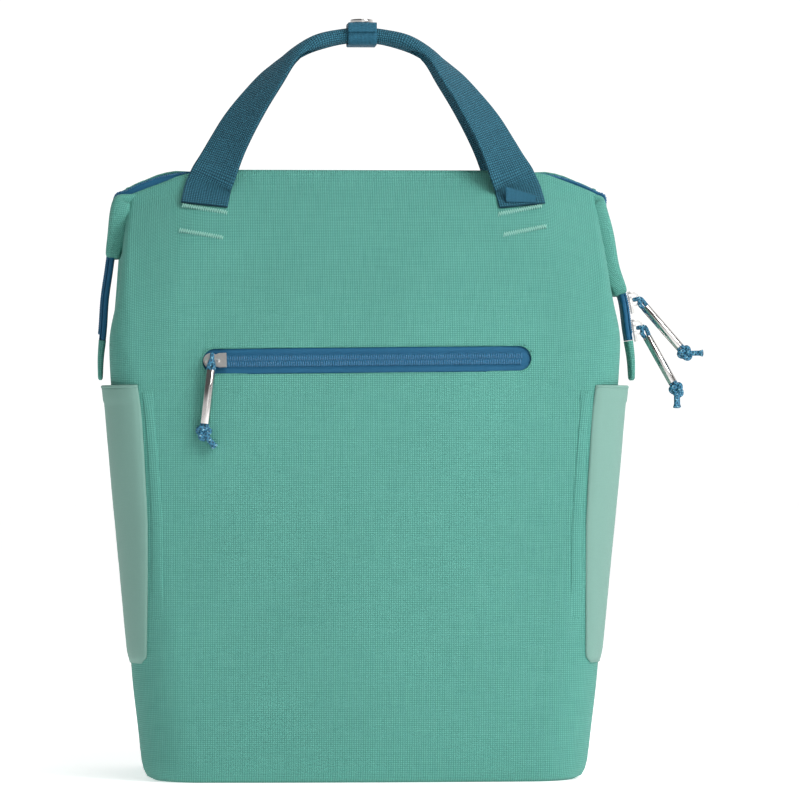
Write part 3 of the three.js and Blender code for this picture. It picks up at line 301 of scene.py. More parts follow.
def new_finish(name, roughness, **sockets):
    finish = bpy.data.materials.new(name)
    finish.use_nodes = True
    tree = finish.node_tree
    shader = tree.nodes["Principled BSDF"]
    shader.inputs["Roughness"].default_value = roughness
    for key, value in sockets.items():
        shader.inputs[key.replace("_", " ")].default_value = value
    return finish, tree, shader


def thread_places(tree, thread):
    """How far a point is along each set of threads, counted in threads."""
    uv = node(tree, "UVMap", uv_map="UVMap").outputs["UV"]
    split = node(tree, "SeparateXYZ", {0: uv})
    return uv, [maths(tree, "DIVIDE", split.outputs[i], thread[i]) for i in (0, 1)]


def woven(name, colour, low_colour, thread, relief, roughness, blotch=0.06, **sockets):
    """Plain weave: crossings bump up, warp and weft take turns, and the threads vary a little. Colour: painted
    highlight on the crossings' tops, painted shade between them.
    """
    finish, tree, shader = new_finish(name, roughness, **sockets)
    uv, (warp, weft) = thread_places(tree, thread)
    warp_wave = maths(tree, "SINE", maths(tree, "MULTIPLY", warp, math.pi))
    weft_wave = maths(tree, "SINE", maths(tree, "MULTIPLY", weft, math.pi))
    crossing = maths(tree, "MULTIPLY", warp_wave, weft_wave)
    bump = maths(tree, "POWER", maths(tree, "ABSOLUTE", crossing), 0.6)
    warp_on_top = maths(tree, "MULTIPLY_ADD", crossing, 0.5, 0.5)
    streaks = []
    for stretch in ((1 / thread[0], 0.06 / thread[1], 1), (0.06 / thread[0], 1 / thread[1], 1)):
        mapping = node(tree, "Mapping", {"Vector": uv, "Scale": stretch}).outputs[0]
        streaks.append(node(tree, "TexNoise", {"Vector": mapping, "Scale": 1, "Detail": 1}).outputs[0])
    streak = maths(tree, "ADD", maths(tree, "MULTIPLY", streaks[0], warp_on_top),
                   maths(tree, "MULTIPLY", streaks[1], maths(tree, "SUBTRACT", 1, warp_on_top)))
    place = node(tree, "TexCoord").outputs["Object"]
    cloud = node(tree, "TexNoise", {"Vector": place, "Scale": 9, "Detail": 3}).outputs[0]
    # The colour below is painted highlight on the crossings' tops and painted shade between them, mixed with
    # the threads' own streaks.
    light = maths(tree, "ADD", maths(tree, "MULTIPLY", bump, 0.62), maths(tree, "MULTIPLY", streak, 0.38))
    base = mixed(tree, light, low_colour, colour)
    cloudy = maths(tree, "MULTIPLY_ADD", cloud, 2 * blotch, 1 - blotch)
    tint = node(tree, "CombineColor", {0: cloudy, 1: cloudy, 2: cloudy}).outputs[0]
    tree.links.new(mixed(tree, 1.0, base, tint, "MULTIPLY"), shader.inputs["Base Color"])
    height = maths(tree, "MULTIPLY_ADD", streak, 0.5, bump)
    normal = node(tree, "Bump", {"Strength": 0.9, "Distance": relief, "Height": height}).outputs[0]
    tree.links.new(normal, shader.inputs["Normal"])
    return finish


body_cloth = woven("coated_polyester", rgb("68ad9f"), rgb("307a70"), (1.5 * MM, 1.35 * MM), 0.4 * MM, 0.66,
                   Specular_IOR_Level=0.3)
print("woven cloth:", body_cloth.name)

# %% [markdown]
# A soft bag is a shell of cloth, so it is made the way cloth is: a flat grid is laid out and each of
# its points is put where the sections say. The lengths along the grid then become the UV map, so a
# thread that is 1.5 mm wide on the flat cloth is 1.5 mm wide on the bag.

# %% Cloth laid over a form
def clear_selection():
    bpy.ops.object.select_all(action="DESELECT")


def laid_cloth(name, columns, rows, place):
    """A grid of cloth with each point where place(across, up) says; its UV map holds real lengths."""
    clear_selection()
    bpy.ops.mesh.primitive_grid_add(x_subdivisions=columns, y_subdivisions=rows, size=1)
    piece = bpy.context.object
    piece.name = piece.data.name = name
    mesh = piece.data
    points = np.array([[place(c / columns, r / rows) for c in range(columns + 1)] for r in range(rows + 1)])
    middle = columns // 2
    steps = np.linalg.norm(np.diff(points, axis=1), axis=2)
    across = np.concatenate([np.zeros((rows + 1, 1)), np.cumsum(steps, axis=1)], axis=1)
    across -= across[:, middle:middle + 1]
    rise = np.linalg.norm(np.diff(points[:, middle], axis=0), axis=1)
    up = np.concatenate([[0], np.cumsum(rise)])
    flat = np.empty(len(mesh.vertices) * 3)
    mesh.vertices.foreach_get("co", flat)
    cell = np.rint((flat.reshape(-1, 3)[:, :2] + 0.5) * (columns, rows)).astype(int)
    mesh.vertices.foreach_set("co", points[cell[:, 1], cell[:, 0]].ravel())
    corner = np.empty(len(mesh.loops), np.int32)
    mesh.loops.foreach_get("vertex_index", corner)
    lengths = np.stack([across[cell[:, 1], cell[:, 0]], up[cell[:, 1]]], axis=1)
    mesh.uv_layers.active.data.foreach_set("uv", lengths[corner].ravel())
    mesh.update()
    bpy.ops.object.shade_smooth()
    return piece


def choose(*pieces):
    """Selects the pieces and makes the first one active."""
    clear_selection()
    for piece in pieces:
        piece.select_set(True)
    bpy.context.view_layer.objects.active = pieces[0]


def joined(name, parts):
    choose(*parts)
    bpy.ops.object.join()
    piece = bpy.context.object
    piece.name = piece.data.name = name
    return piece


def closed_up(piece, close_ends=True):
    """Sews the grid's meeting edges together, closes its open ends and turns its faces outwards."""
    choose(piece)
    bpy.ops.object.mode_set(mode="EDIT")
    bpy.ops.mesh.select_all(action="SELECT")
    bpy.ops.mesh.remove_doubles(threshold=0.002 * MM)
    if close_ends:
        bpy.ops.mesh.fill_holes(sides=0)
    bpy.ops.mesh.select_all(action="SELECT")
    bpy.ops.mesh.normals_make_consistent(inside=False)
    bpy.ops.mesh.select_all(action="DESELECT")
    bpy.ops.object.mode_set(mode="OBJECT")
    return piece


def use_modifier(piece, kind, **settings):
    choose(piece)
    modifier = piece.modifiers.new(kind.lower(), kind)
    for key, value in settings.items():
        setattr(modifier, key, value)
    bpy.ops.object.modifier_apply(modifier=modifier.name)
    return piece


def thickened(piece, thickness, offset=-1):
    """Gives a sheet its thickness: behind its face with an offset of -1, on both sides with 0."""
    return use_modifier(piece, "SOLIDIFY", thickness=thickness, offset=offset)


def painted(piece, finish):
    piece.data.materials.clear()
    piece.data.materials.append(finish)


def dressed(piece, finish, slot, *nodes):
    """Gives a finished piece its material and its place in the bag."""
    painted(piece, finish)
    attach(piece, "root")
    if nodes:
        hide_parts(*nodes)
    box = np.array([v.co for v in piece.data.vertices])
    extent = (box.max(0) - box.min(0)) / MM
    print(f"{piece.name}: {len(piece.data.polygons)} faces, {extent.round(1)} mm")
    return piece


# %% [markdown]
# The shell runs up the outside of the bag, turns in over a thin rim beside the zip and comes back down
# inside as the lining's side of the padded wall, so the bag is hollow as the real one is. Foam-backed
# cloth is never quite flat: each wall gets a few broad swells and dents, shallow enough to show only as
# soft changes of light, where the real bag has them: below the handles, beside the pockets and in the
# pulled-in sides under the folded zip ends.

# %% The padded walls
def hollow(x, z, centre, spread, depth):
    """A shallow dent (or, with a negative depth, a swell) round a place on a wall."""
    return depth * math.exp(-(((x - centre[0]) / spread[0]) ** 2) - ((z - centre[1]) / spread[1]) ** 2)


front_dents = [
    ((-0.045, 0.335), (0.05, 0.03), 1.0 * MM),
    ((0.06, 0.34), (0.04, 0.022), 0.8 * MM),
    ((-0.104, 0.352), (0.03, 0.012), -0.8 * MM),
    ((0.104, 0.352), (0.03, 0.012), -0.8 * MM),
    ((-0.128, 0.31), (0.012, 0.06), -1.2 * MM),
    ((0.135, 0.30), (0.012, 0.06), -1.2 * MM),
    ((0.1, 0.2), (0.03, 0.09), 0.9 * MM),
    ((-0.085, 0.12), (0.04, 0.06), 0.8 * MM),
    ((0.02, 0.05), (0.09, 0.02), 0.9 * MM),
]


# centre and half size of the two patches behind the bar tacks
patches = [((-0.1065, 0.362), (0.0165, 0.021)), ((0.105, 0.362), (0.0165, 0.021))]


def patch_lift(x, z, centre, half):
    """The cloth stands a little proud over a square patch welded behind it, with soft edges."""
    edge = 1.6 * MM
    return (smooth_step(-edge, edge, half[0] - abs(x - centre[0]))
            * smooth_step(-edge, edge, half[1] - abs(z - centre[1])) * 0.4 * MM)


def fold_crease(share, z):
    """Beside the folded ends the front's edge stands out as a roll, with a crease behind it."""
    high = smooth_step(0.285, 0.335, z) * smooth_step(0.392, 0.365, z)
    roll = math.exp(-(((share - 1.2) / 0.3) ** 2))
    crease = math.exp(-(((share - 1.95) / 0.32) ** 2))
    return high * (4.0 * MM * crease - 1.4 * MM * roll)


def wall_relief(point, share):
    """How far a wall point moves inwards: broad dents, patches behind the cloth and a faint ripple."""
    x, y, z = point
    depth = 0.0
    if share < 1.6:
        depth = sum(hollow(x, z, *dent) for dent in front_dents) * smooth_step(1.6, 0.9, share)
    ripple = math.sin(x * 41 + z * 23) * math.sin(z * 37 - x * 17 + 1.3)
    ripple += 0.6 * math.sin(x * 83 - z * 61 + y * 50)
    if share < 1:
        depth -= sum(patch_lift(x, z, *patch) for patch in patches)
    if y < 0:
        depth += fold_crease(share, z)
    return depth + 0.35 * MM * ripple * smooth_step(0.02, 0.1, z) * smooth_step(0.4, 0.36, z)


# how far the front rim slumps at the left (-1) and the right (1) end of the ridge
rim_falls = {-1: 5.5 * MM, 1: 3.0 * MM}


def rim_fall(x, y, height):
    """Near the ridge's ends the front rim slumps, so that the tape shows, and the back rim rises."""
    front = y <= 0
    fall = rim_falls[-1 if x < 0 else 1] if front else -2.5 * MM
    along = smooth_step(98 * MM, 135 * MM, abs(x)) if front else smooth_step(112 * MM, 138 * MM, abs(x))
    return fall * along * smooth_step((0.86 if front else 0.93) * ridge_height, ridge_height, height)


def ring_place(across):
    """The quarter of the bag and the share along it, from the back's middle round by the left and front."""
    quarter = min(int(across * 4), 3)
    part = across * 4 - quarter
    along = part if quarter in (0, 2) else 1 - part
    stops = ((0.0, 0.0), (0.42, 1.0), (0.72, 2.0), (1.0, 3.0))
    for (t0, s0), (t1, s1) in zip(stops, stops[1:]):
        if along <= t1 + 1e-9:
            share = lerp(s0, s1, (along - t0) / (t1 - t0))
            break
    flip_x = -1 if quarter < 2 else 1
    flip_y = -1 if quarter in (0, 3) else 1
    return share, flip_x, flip_y


def inward_at(share):
    """The way into the wall: backwards from the front and sideways from the side."""
    return Vector((0, 1, 0)) if share < 1.5 else Vector((-1, 0, 0))


shell_columns = 232
outer_rows = 150
floor_rings = 7
rim_rows = 5
inner_rows = 26
shell_rows = floor_rings + outer_rows + rim_rows + inner_rows + floor_rings
lowest_rows = [0.0, 0.0012, 0.0024, 0.0045, 0.007, 0.0095, 0.0125]


def shell_place(across, up):
    share, flip_x, flip_y = ring_place(across)
    row = round(up * shell_rows)
    if row < floor_rings:
        flat = quarter_point(0, share)
        return Vector((flat.x * flip_x, flat.y * flip_y, 0)) * (row / floor_rings)
    row -= floor_rings
    if row <= outer_rows:
        first = len(lowest_rows)
        if row < first:
            height = lowest_rows[row]
        else:
            height = lerp(lowest_rows[-1], ridge_height, (row - first + 1) / (outer_rows - first + 1))
        point = quarter_point(height, share)
        relief = wall_relief(Vector((point.x * flip_x, point.y * flip_y, point.z)), share)
        point = point + inward_at(share) * relief
    elif row <= outer_rows + rim_rows:
        turned = (row - outer_rows) / rim_rows * math.pi / 2
        inset = rim_thickness * math.sin(turned)
        point = quarter_point(ridge_height, share, inset)
        point.z -= 0.6 * MM * (1 - math.cos(turned))
    elif row <= outer_rows + rim_rows + inner_rows:
        down = (row - outer_rows - rim_rows) / inner_rows
        height = lerp(ridge_height - 3 * MM, 2 * wall_thickness, down)
        inset = lerp(wall_thickness, rim_thickness, smooth_step(0.86 * ridge_height, ridge_height, height))
        point = quarter_point(height, share, inset)
    else:
        left = 1 - (row - outer_rows - rim_rows - inner_rows) / floor_rings
        point = quarter_point(2 * wall_thickness, share, wall_thickness)
        point = Vector((point.x * left, point.y * left, 2 * wall_thickness))
        return Vector((point.x * flip_x, point.y * flip_y, point.z))
    x, y = point.x * flip_x, point.y * flip_y
    return Vector((x, y, point.z - rim_fall(x, y, point.z + lowered(0, 0) - lowered(x, 0))))


walls = closed_up(laid_cloth("padded_walls", shell_columns, shell_rows, shell_place))
dressed(walls, body_cloth, "body_cloth", "base_panel", "front_panel", "back_panel",
        "side_panel_left", "side_panel_right")

# %% [markdown]
# The front pocket opens through a slot in the front wall with round ends. The slot is a real hole in
# the cloth with a thin turned lip, because a drawn line would lose the shadow that the zip's sunken
# tape shows. A sheet with the slot's outline is laid just above the cloth, thickened until it reaches
# the tape's depth and cut out of the shell, and a fine bead of cloth lies round the edge.

# %% The front pocket's slot
front_zip_height = 274 * MM
front_zip_length = 214 * MM
front_zip_width = 17 * MM
front_zip_recess = 2 * MM
front_zip_slope = 0.0105


def front_zip_place(along, up, lift):
    """A place on the front face, measured along and across the pocket's zip and out from the cloth."""
    point, normal = face_point(along, front_zip_height + along * front_zip_slope + up)
    dent = wall_relief(point, abs(point.x) / (half_width - corner_radius * 0.7))
    return point + Vector((0, 1, 0)) * dent + normal * lift


def stadium(length, width, count):
    """Points round a slot with round ends, as offsets from its middle."""
    straight = (length - width) / 2
    around = []
    for i in range(count):
        turn = 2 * math.pi * (i + 0.5) / count
        side = straight if math.cos(turn) > 0 else -straight
        around.append((side + width / 2 * math.cos(turn), width / 2 * math.sin(turn)))
    return around


def slot_place(across, up, margin, lift):
    """A place in the slot, across and up it, kept a margin in from its edge and lifted off the cloth."""
    along = (across - 0.5) * (front_zip_length - 2 * margin)
    round_end = front_zip_width / 2 - margin
    end = min(front_zip_length / 2 - margin - abs(along), round_end)
    half = math.sqrt(max(round_end**2 - (round_end - end) ** 2, 0.2e-6))
    return front_zip_place(along, (2 * up - 1) * half, lift)


cutter_lift = 5 * MM
slot_cutter = laid_cloth("slot_cutter", 160, 10, lambda a, u: slot_place(a, u, 0, cutter_lift))
thickened(slot_cutter, cutter_lift + front_zip_recess + 0.5 * MM)
use_modifier(walls, "BOOLEAN", operation="DIFFERENCE", object=slot_cutter, solver="EXACT")
bpy.data.objects.remove(slot_cutter)
print("slot cut, walls now", len(walls.data.polygons), "faces")


def lofted(name, rings, close_ends=True):
    """A closed tube of cloth, webbing or padding through rings of points."""
    last, count = len(rings) - 1, len(rings[0])

    def place(across, up):
        return rings[round(up * last)][round(across * count) % count]

    return closed_up(laid_cloth(name, count, last, place), close_ends)


def around_line(line, radius, corners):
    """Rings of a round cord or bead along a line of points."""
    line = [Vector(p) for p in line]
    last = len(line) - 1
    rings, normal = [], None
    for i, point in enumerate(line):
        tangent = (line[min(i + 1, last)] - line[max(i - 1, 0)]).normalized()
        if normal is None:
            normal = tangent.orthogonal().normalized()
        normal = (normal - tangent * normal.dot(tangent)).normalized()
        side = tangent.cross(normal)
        size = radius(i / last) if callable(radius) else radius
        rings.append([point + (normal * math.cos(a) + side * math.sin(a)) * size
                      for a in (2 * math.pi * k / corners for k in range(corners))])
    return rings


lip_line = [front_zip_place(a, u, 0.05 * MM) for a, u in stadium(front_zip_length, front_zip_width, 120)]
slot_lip = lofted("pocket_slot_lip", around_line(lip_line + lip_line[:1], 0.55 * MM, 8), False)
dressed(slot_lip, body_cloth, "body_cloth")

# %% [markdown]
# Zip tape is a fine, smooth twill, darker than the webbing, and the zip's coil is a row of small nylon
# turns on each side of the closing line. The webbing is coarse: fat ribs across its width, each broken
# into short floats. Tape, webbing, pockets and pads use the body's weave with other sizes: threads
# counted along the UV map, a bump for each crossing, and two colours mixed by height, a painted
# highlight on the crossings' tops and painted shade between them. Thread, nylon and metal have a fine
# grain instead.

# %% Webbing, zip tape, pocket cloth, thread and metal
webbing_cloth = woven("ribbed_webbing", rgb("3a7a90"), rgb("031a26"), (1.6 * MM, 1.6 * MM), 0.8 * MM, 0.7,
                      Specular_IOR_Level=0.2)
zip_tape_cloth = woven("zip_tape_twill", rgb("1c6388"), rgb("0f4564"), (0.6 * MM, 0.6 * MM), 0.08 * MM, 0.6,
                       Specular_IOR_Level=0.25)
stretch_cloth = woven("stretch_pocket", rgb("7ba297"), rgb("699086"), (0.5 * MM, 0.6 * MM), 0.05 * MM, 0.6,
                      blotch=0.04, Specular_IOR_Level=0.3)
pad_cloth = woven("strap_mesh", rgb("4f9a8c"), rgb("2f6d63"), (1.6 * MM, 1.6 * MM), 0.3 * MM, 0.7)


def plain_finish(name, colour, low_colour, roughness, grain, relief, **sockets):
    """A moulded, drawn or twisted surface: fine grain in its colour and relief."""
    finish, tree, shader = new_finish(name, roughness, **sockets)
    place = node(tree, "TexCoord").outputs["Object"]
    noise = node(tree, "TexNoise", {"Vector": place, "Scale": grain, "Detail": 4}).outputs[0]
    tree.links.new(mixed(tree, noise, low_colour, colour), shader.inputs["Base Color"])
    tree.links.new(node(tree, "Bump", {"Strength": 0.5, "Distance": relief, "Height": noise}).outputs[0],
                   shader.inputs["Normal"])
    return finish


coil_nylon = plain_finish("coil_nylon", rgb("30779d"), rgb("154b6d"), 0.34, 1200, 0.03 * MM)
stitch_thread = plain_finish("stitch_thread", rgb("a2d3c6"), rgb("6fb0a3"), 0.6, 2500, 0.08 * MM)
blue_thread = plain_finish("blue_thread", rgb("3f7fa0"), rgb("25607f"), 0.6, 2500, 0.08 * MM)
keeper_twill = woven("keeper_twill", rgb("2f6f88"), rgb("0b3245"), (0.9 * MM, 0.7 * MM), 0.2 * MM, 0.6,
                     Specular_IOR_Level=0.2)
cast_metal = plain_finish("cast_metal", rgb("eeecea"), rgb("d2cfcc"), 0.34, 500, 0.01 * MM, Metallic=1.0)
chrome = plain_finish("polished_steel", rgb("d2d0ce"), rgb("bebbb9"), 0.12, 500, 0.004 * MM, Metallic=1.0)
buckle_plastic = plain_finish("buckle_plastic", rgb("1f5470"), rgb("163f57"), 0.42, 1800, 0.02 * MM)
print("finishes:", [m.name for m in bpy.data.materials])

# %% [markdown]
# The main zip runs along the ridge, over its corners and down the folded ends. One smooth line through
# a short table of points carries everything that follows it: the tape, the two rows of teeth, the
# sliders' chain and the folded cloth. Drops are shares of the fold's length, and the two outward
# columns, one for each end, are shares of how far each tip stands out.

# %% The main zip's line
tape_thickness = 1.2 * MM
tape_recess = 2.6 * MM
seam_gap = 0.3 * MM
fold_drop = 124 * MM
fold_out = {"left": 13.5 * MM, "right": 20.5 * MM}
fold_line = [
    (-0.004, -0.35, -0.23),
    (0.01, 0.03, -0.02),
    (0.08, 0.19, 0.0),
    (0.24, 0.34, 0.17),
    (0.4, 0.53, 0.34),
    (0.56, 0.74, 0.69),
    (0.72, 0.84, 0.83),
    (0.88, 0.98, 0.97),
    (1.0, 1.0, 1.0),
]
sides = {"left": -1, "right": 1}
fold_end = {"left": 0.35, "right": 0.54}
zip_stop = 0.78
corner_height = ridge_height - ridge_drop
slot_half_width = 0.14 * half_depth - rim_thickness
tape_half_width = slot_half_width - seam_gap


def smooth_line(points, steps):
    """Evenly spaced points on a smooth line; columns after the third are carried along."""
    p = np.array(points, float)
    p = np.vstack([2 * p[0] - p[1], p, 2 * p[-1] - p[-2]])
    fine = []
    for i in range(1, len(p) - 2):
        four = p[i - 1:i + 3]
        gaps = np.linalg.norm(np.diff(four[:, :3], axis=0), axis=1) ** 0.5
        k = np.concatenate([[0], np.cumsum(gaps)])
        for t in np.linspace(k[1], k[2], 25)[:-1]:
            a = [((k[j + 1] - t) * four[j] + (t - k[j]) * four[j + 1]) / (k[j + 1] - k[j]) for j in range(3)]
            b = [((k[j + 2] - t) * a[j] + (t - k[j]) * a[j + 1]) / (k[j + 2] - k[j]) for j in range(2)]
            fine.append(((k[2] - t) * b[0] + (t - k[1]) * b[1]) / (k[2] - k[1]))
    fine = np.array(fine + [p[-2]])
    run = np.concatenate([[0], np.cumsum(np.linalg.norm(np.diff(fine[:, :3], axis=0), axis=1))])
    even = np.linspace(0, run[-1], steps + 1)
    return np.stack([np.interp(even, run, column) for column in fine.T], axis=1)


def line_length(points):
    return float(np.sum(np.linalg.norm(np.diff(points, axis=0), axis=1)))


def place_on(path, share, before, after):
    """The point at a share of a path, and the way that the path runs there, over a few steps."""
    at = min(max(share, 0), 1) * path_steps
    low = int(min(at, path_steps - 1))
    point = Vector(lerp(path[low], path[low + 1], at - low))
    along = Vector(path[min(low + after, path_steps)] - path[max(low - before, 0)]).normalized()
    return point, along


def zip_points(side):
    column = 1 if side == "left" else 2
    points = []
    for share in (0, 0.3, 0.6, 0.72, 0.82, 0.9):
        x = share * ridge_half_length
        recess = lerp(tape_recess, 1.4 * MM, smooth_step(ridge_flat, ridge_half_length * 0.9, x))
        points.append((x, 0, lowered(x, ridge_height) - recess))
    for row in fold_line:
        x = ridge_half_length + row[column] * fold_out[side]
        points.append((x, 0, corner_height - row[0] * fold_drop))
    return points


path_steps = 600
zip_path = {side: smooth_line(zip_points(side), path_steps) for side in sides}


def drop_share(side, drop):
    """How far along the line it has come down by a share of the fold's length."""
    return float(np.argmax(zip_path[side][:, 2] <= corner_height - drop * fold_drop)) / path_steps


def width_share(side, x):
    return float(np.argmax(zip_path[side][:, 0] >= x)) / path_steps


def zip_station(side, share):
    """Middle, outward and downward directions of the zip at a share of one half of it."""
    point, along = place_on(zip_path[side], share, 3, 4)
    flip = sides[side]
    out = Vector((-along.z * flip, 0, along.x))
    return Vector((point.x * flip, 0, point.z)), out, Vector((along.x * flip, 0, along.z))


for side in sides:
    print(side, "zip half", round(line_length(zip_path[side]) / MM), "mm")

# %% [markdown]
# Tape and folded ends are bands along that line. A band's section is a flat loop with rounded edges,
# and each one is lofted through its stations, so its UV map runs along the tape.

# %% Zip tape and its doubled ends
def flat_loop(half, thickness, count=24, square=0.75):
    """Offsets round a flat strip with rounded edges: across it and through it."""
    loop = []
    for i in range(count):
        turn = 2 * math.pi * (i + 0.5) / count
        c, s = math.cos(turn), math.sin(turn)
        a = math.copysign(abs(c) ** (1 - square * 0.6), c)
        b = math.copysign(abs(s) ** (1 - square), s)
        loop.append((a * half, b * thickness / 2))
    return loop


def zip_band(side_shares, section_at):
    """Rings of a strip that follows the zip; section_at gives its half width, thickness and lift."""
    rings = []
    for i, (side, share) in enumerate(side_shares):
        middle, out, _ = zip_station(side, share)
        half, thickness, lift = section_at(i / (len(side_shares) - 1))
        rings.append([middle + Vector((0, a, 0)) + out * (b + lift) for a, b in flat_loop(half, thickness)])
    return rings


def whole_zip(stop, count):
    left = [("left", s) for s in np.linspace(drop_share("left", stop), 0, count)]
    return left + [("right", s) for s in np.linspace(0, drop_share("right", stop), count)[1:]]


tape = lofted("main_tape", zip_band(whole_zip(zip_stop, 110), lambda t: (tape_half_width, tape_thickness, 0)))
dressed(tape, zip_tape_cloth, "zip_cloth", "main_zip_tape")

# %% [markdown]
# Near the ends of the ridge the front rim has slumped, and the tape's edge shows above it. There the
# tape is sewn down behind the rim, so a narrow skirt of the same tape hangs from its front edge.

# %% The tape's skirts
skirt_half_width = 4.6 * MM
skirt_drop = 4.2 * MM
for side in sides:
    rings = []
    for share in np.linspace(width_share(side, 92 * MM), drop_share(side, 0.16), 40):
        middle, out, _ = zip_station(side, share)
        edge = middle + Vector((0, -tape_half_width + 0.6 * MM, 0))
        section = flat_loop(skirt_half_width, 0.8 * MM)
        rings.append([edge + Vector((0, b, 0)) + out * (a - skirt_drop) for a, b in section])
    dressed(lofted(f"tape_skirt_{side}", rings), zip_tape_cloth, "zip_cloth")

# %% [markdown]
# Below the folds the tape is doubled and stiff, and it ends in a tab of the walls' own cloth.

# %% The zip's ends
zip_end_half_width = 12 * MM
zip_end_thickness = 3.4 * MM
zip_end_lift = -(zip_end_thickness + tape_thickness) / 2 + 0.05 * MM


def doubled_section(_):
    return zip_end_half_width, zip_end_thickness, zip_end_lift


def tab_section(t):
    thick = (zip_end_thickness + tape_thickness + seam_gap) * (1 - 0.35 * t)
    half = zip_end_half_width * (1 - 0.18 * t**2 - 0.25 * smooth_step(0.93, 1, t))
    return half, thick * (1 - 0.5 * smooth_step(0.95, 1, t)), -zip_end_thickness / 2


for side in sides:
    top, stop = drop_share(side, fold_end[side] - 0.04), drop_share(side, zip_stop)
    doubled = zip_band([(side, s) for s in np.linspace(top, stop, 30)], doubled_section)
    dressed(lofted(f"doubled_tape_{side}", doubled), zip_tape_cloth, "zip_cloth", f"zip_end_{side}")
    tab = zip_band([(side, s) for s in np.linspace(stop + 0.001, 1, 26)], tab_section)
    dressed(lofted(f"fold_tab_{side}", tab), body_cloth, "body_cloth", f"end_tab_{side}")

# %% [markdown]
# A coil zip's tooth is one turn of a nylon spiral, 1.5 mm thick, every 1.5 mm, so the turns touch. One
# turn is a short eight-sided cylinder laid across the tape. It is copied along both zips, with its own
# mesh each time, on both sides of the closing line and half a step apart.

# %% Zip teeth
tooth_pitch = 1.5 * MM
tooth_length = 3.658306 * MM
tooth_radius = 0.770692 * MM
# from the closing line to a tooth's middle
tooth_offset = 1.75 * MM


def model_tooth():
    bpy.ops.mesh.primitive_cylinder_add(vertices=8, radius=tooth_radius, depth=tooth_length)
    bpy.ops.object.shade_smooth()
    return bpy.context.object


def copies_at(name, model, places):
    """Copies of one model, each with its own mesh, joined into a single piece."""
    copies = []
    for place in places:
        copy = model.copy()
        copy.data = model.data.copy()
        copy.data.transform(place)
        bpy.context.scene.collection.objects.link(copy)
        copies.append(copy)
    bpy.data.objects.remove(model)
    return joined(name, copies)


def axes_at(point, x_axis, y_axis, z_axis):
    turned = Matrix((x_axis, y_axis, z_axis)).transposed().to_4x4()
    return Matrix.Translation(point) @ turned


tooth_places = []
for side in sides:
    length = line_length(zip_path[side])
    stop = drop_share(side, zip_stop * 0.965)
    for i in range(int(stop * length / tooth_pitch)):
        middle, out, along = zip_station(side, (i + 0.5) * tooth_pitch / length)
        for way in (-1, 1):
            at = middle + along * way * tooth_pitch / 4 + out * (tape_thickness / 2 + 0.45 * MM)
            at += Vector((0, way * tooth_offset, 0))
            tooth_places.append(axes_at(at, along, Vector((0, 1, 0)).cross(along), Vector((0, 1, 0))))
main_teeth = copies_at("main_teeth", model_tooth(), tooth_places)
dressed(main_teeth, coil_nylon, "zip_cloth", "main_zip_coil")

# %% [markdown]
# The front pocket's tape lies in its slot, a little below the cloth. It has the same teeth, set close to
# the closing line, and a welt of tape above and below them.

# %% The front pocket's zip
def front_tape_place(across, up):
    level = (2 * up - 1) * front_zip_width / 2
    welt = 0.35 * MM * math.exp(-(((abs(level) - 4.8 * MM) / (0.5 * MM)) ** 2))
    return slot_place(across, up, 0.25 * MM, -1.0 * MM - welt)


front_tape = laid_cloth("front_tape", 160, 28, front_tape_place)
thickened(front_tape, 0.8 * MM)
dressed(front_tape, zip_tape_cloth, "zip_cloth", "front_zip_tape")
front_places = []
for i in range(int((front_zip_length - 13 * MM) / tooth_pitch)):
    along = -front_zip_length / 2 + 6.5 * MM + (i + 0.5) * tooth_pitch
    for way in (-1, 1):
        up = way * (tooth_offset + 0.02 * MM)
        at = front_zip_place(along + way * tooth_pitch / 4, up, -0.55 * MM)
        _, normal = face_point(along, front_zip_height)
        x_axis = Vector((1, 0, front_zip_slope)).normalized()
        z_axis = normal.cross(x_axis).normalized()
        front_places.append(axes_at(at, x_axis, z_axis.cross(x_axis), z_axis))
front_teeth = copies_at("front_teeth", model_tooth(), front_places)
dressed(front_teeth, coil_nylon, "zip_cloth", "front_zip_coil")
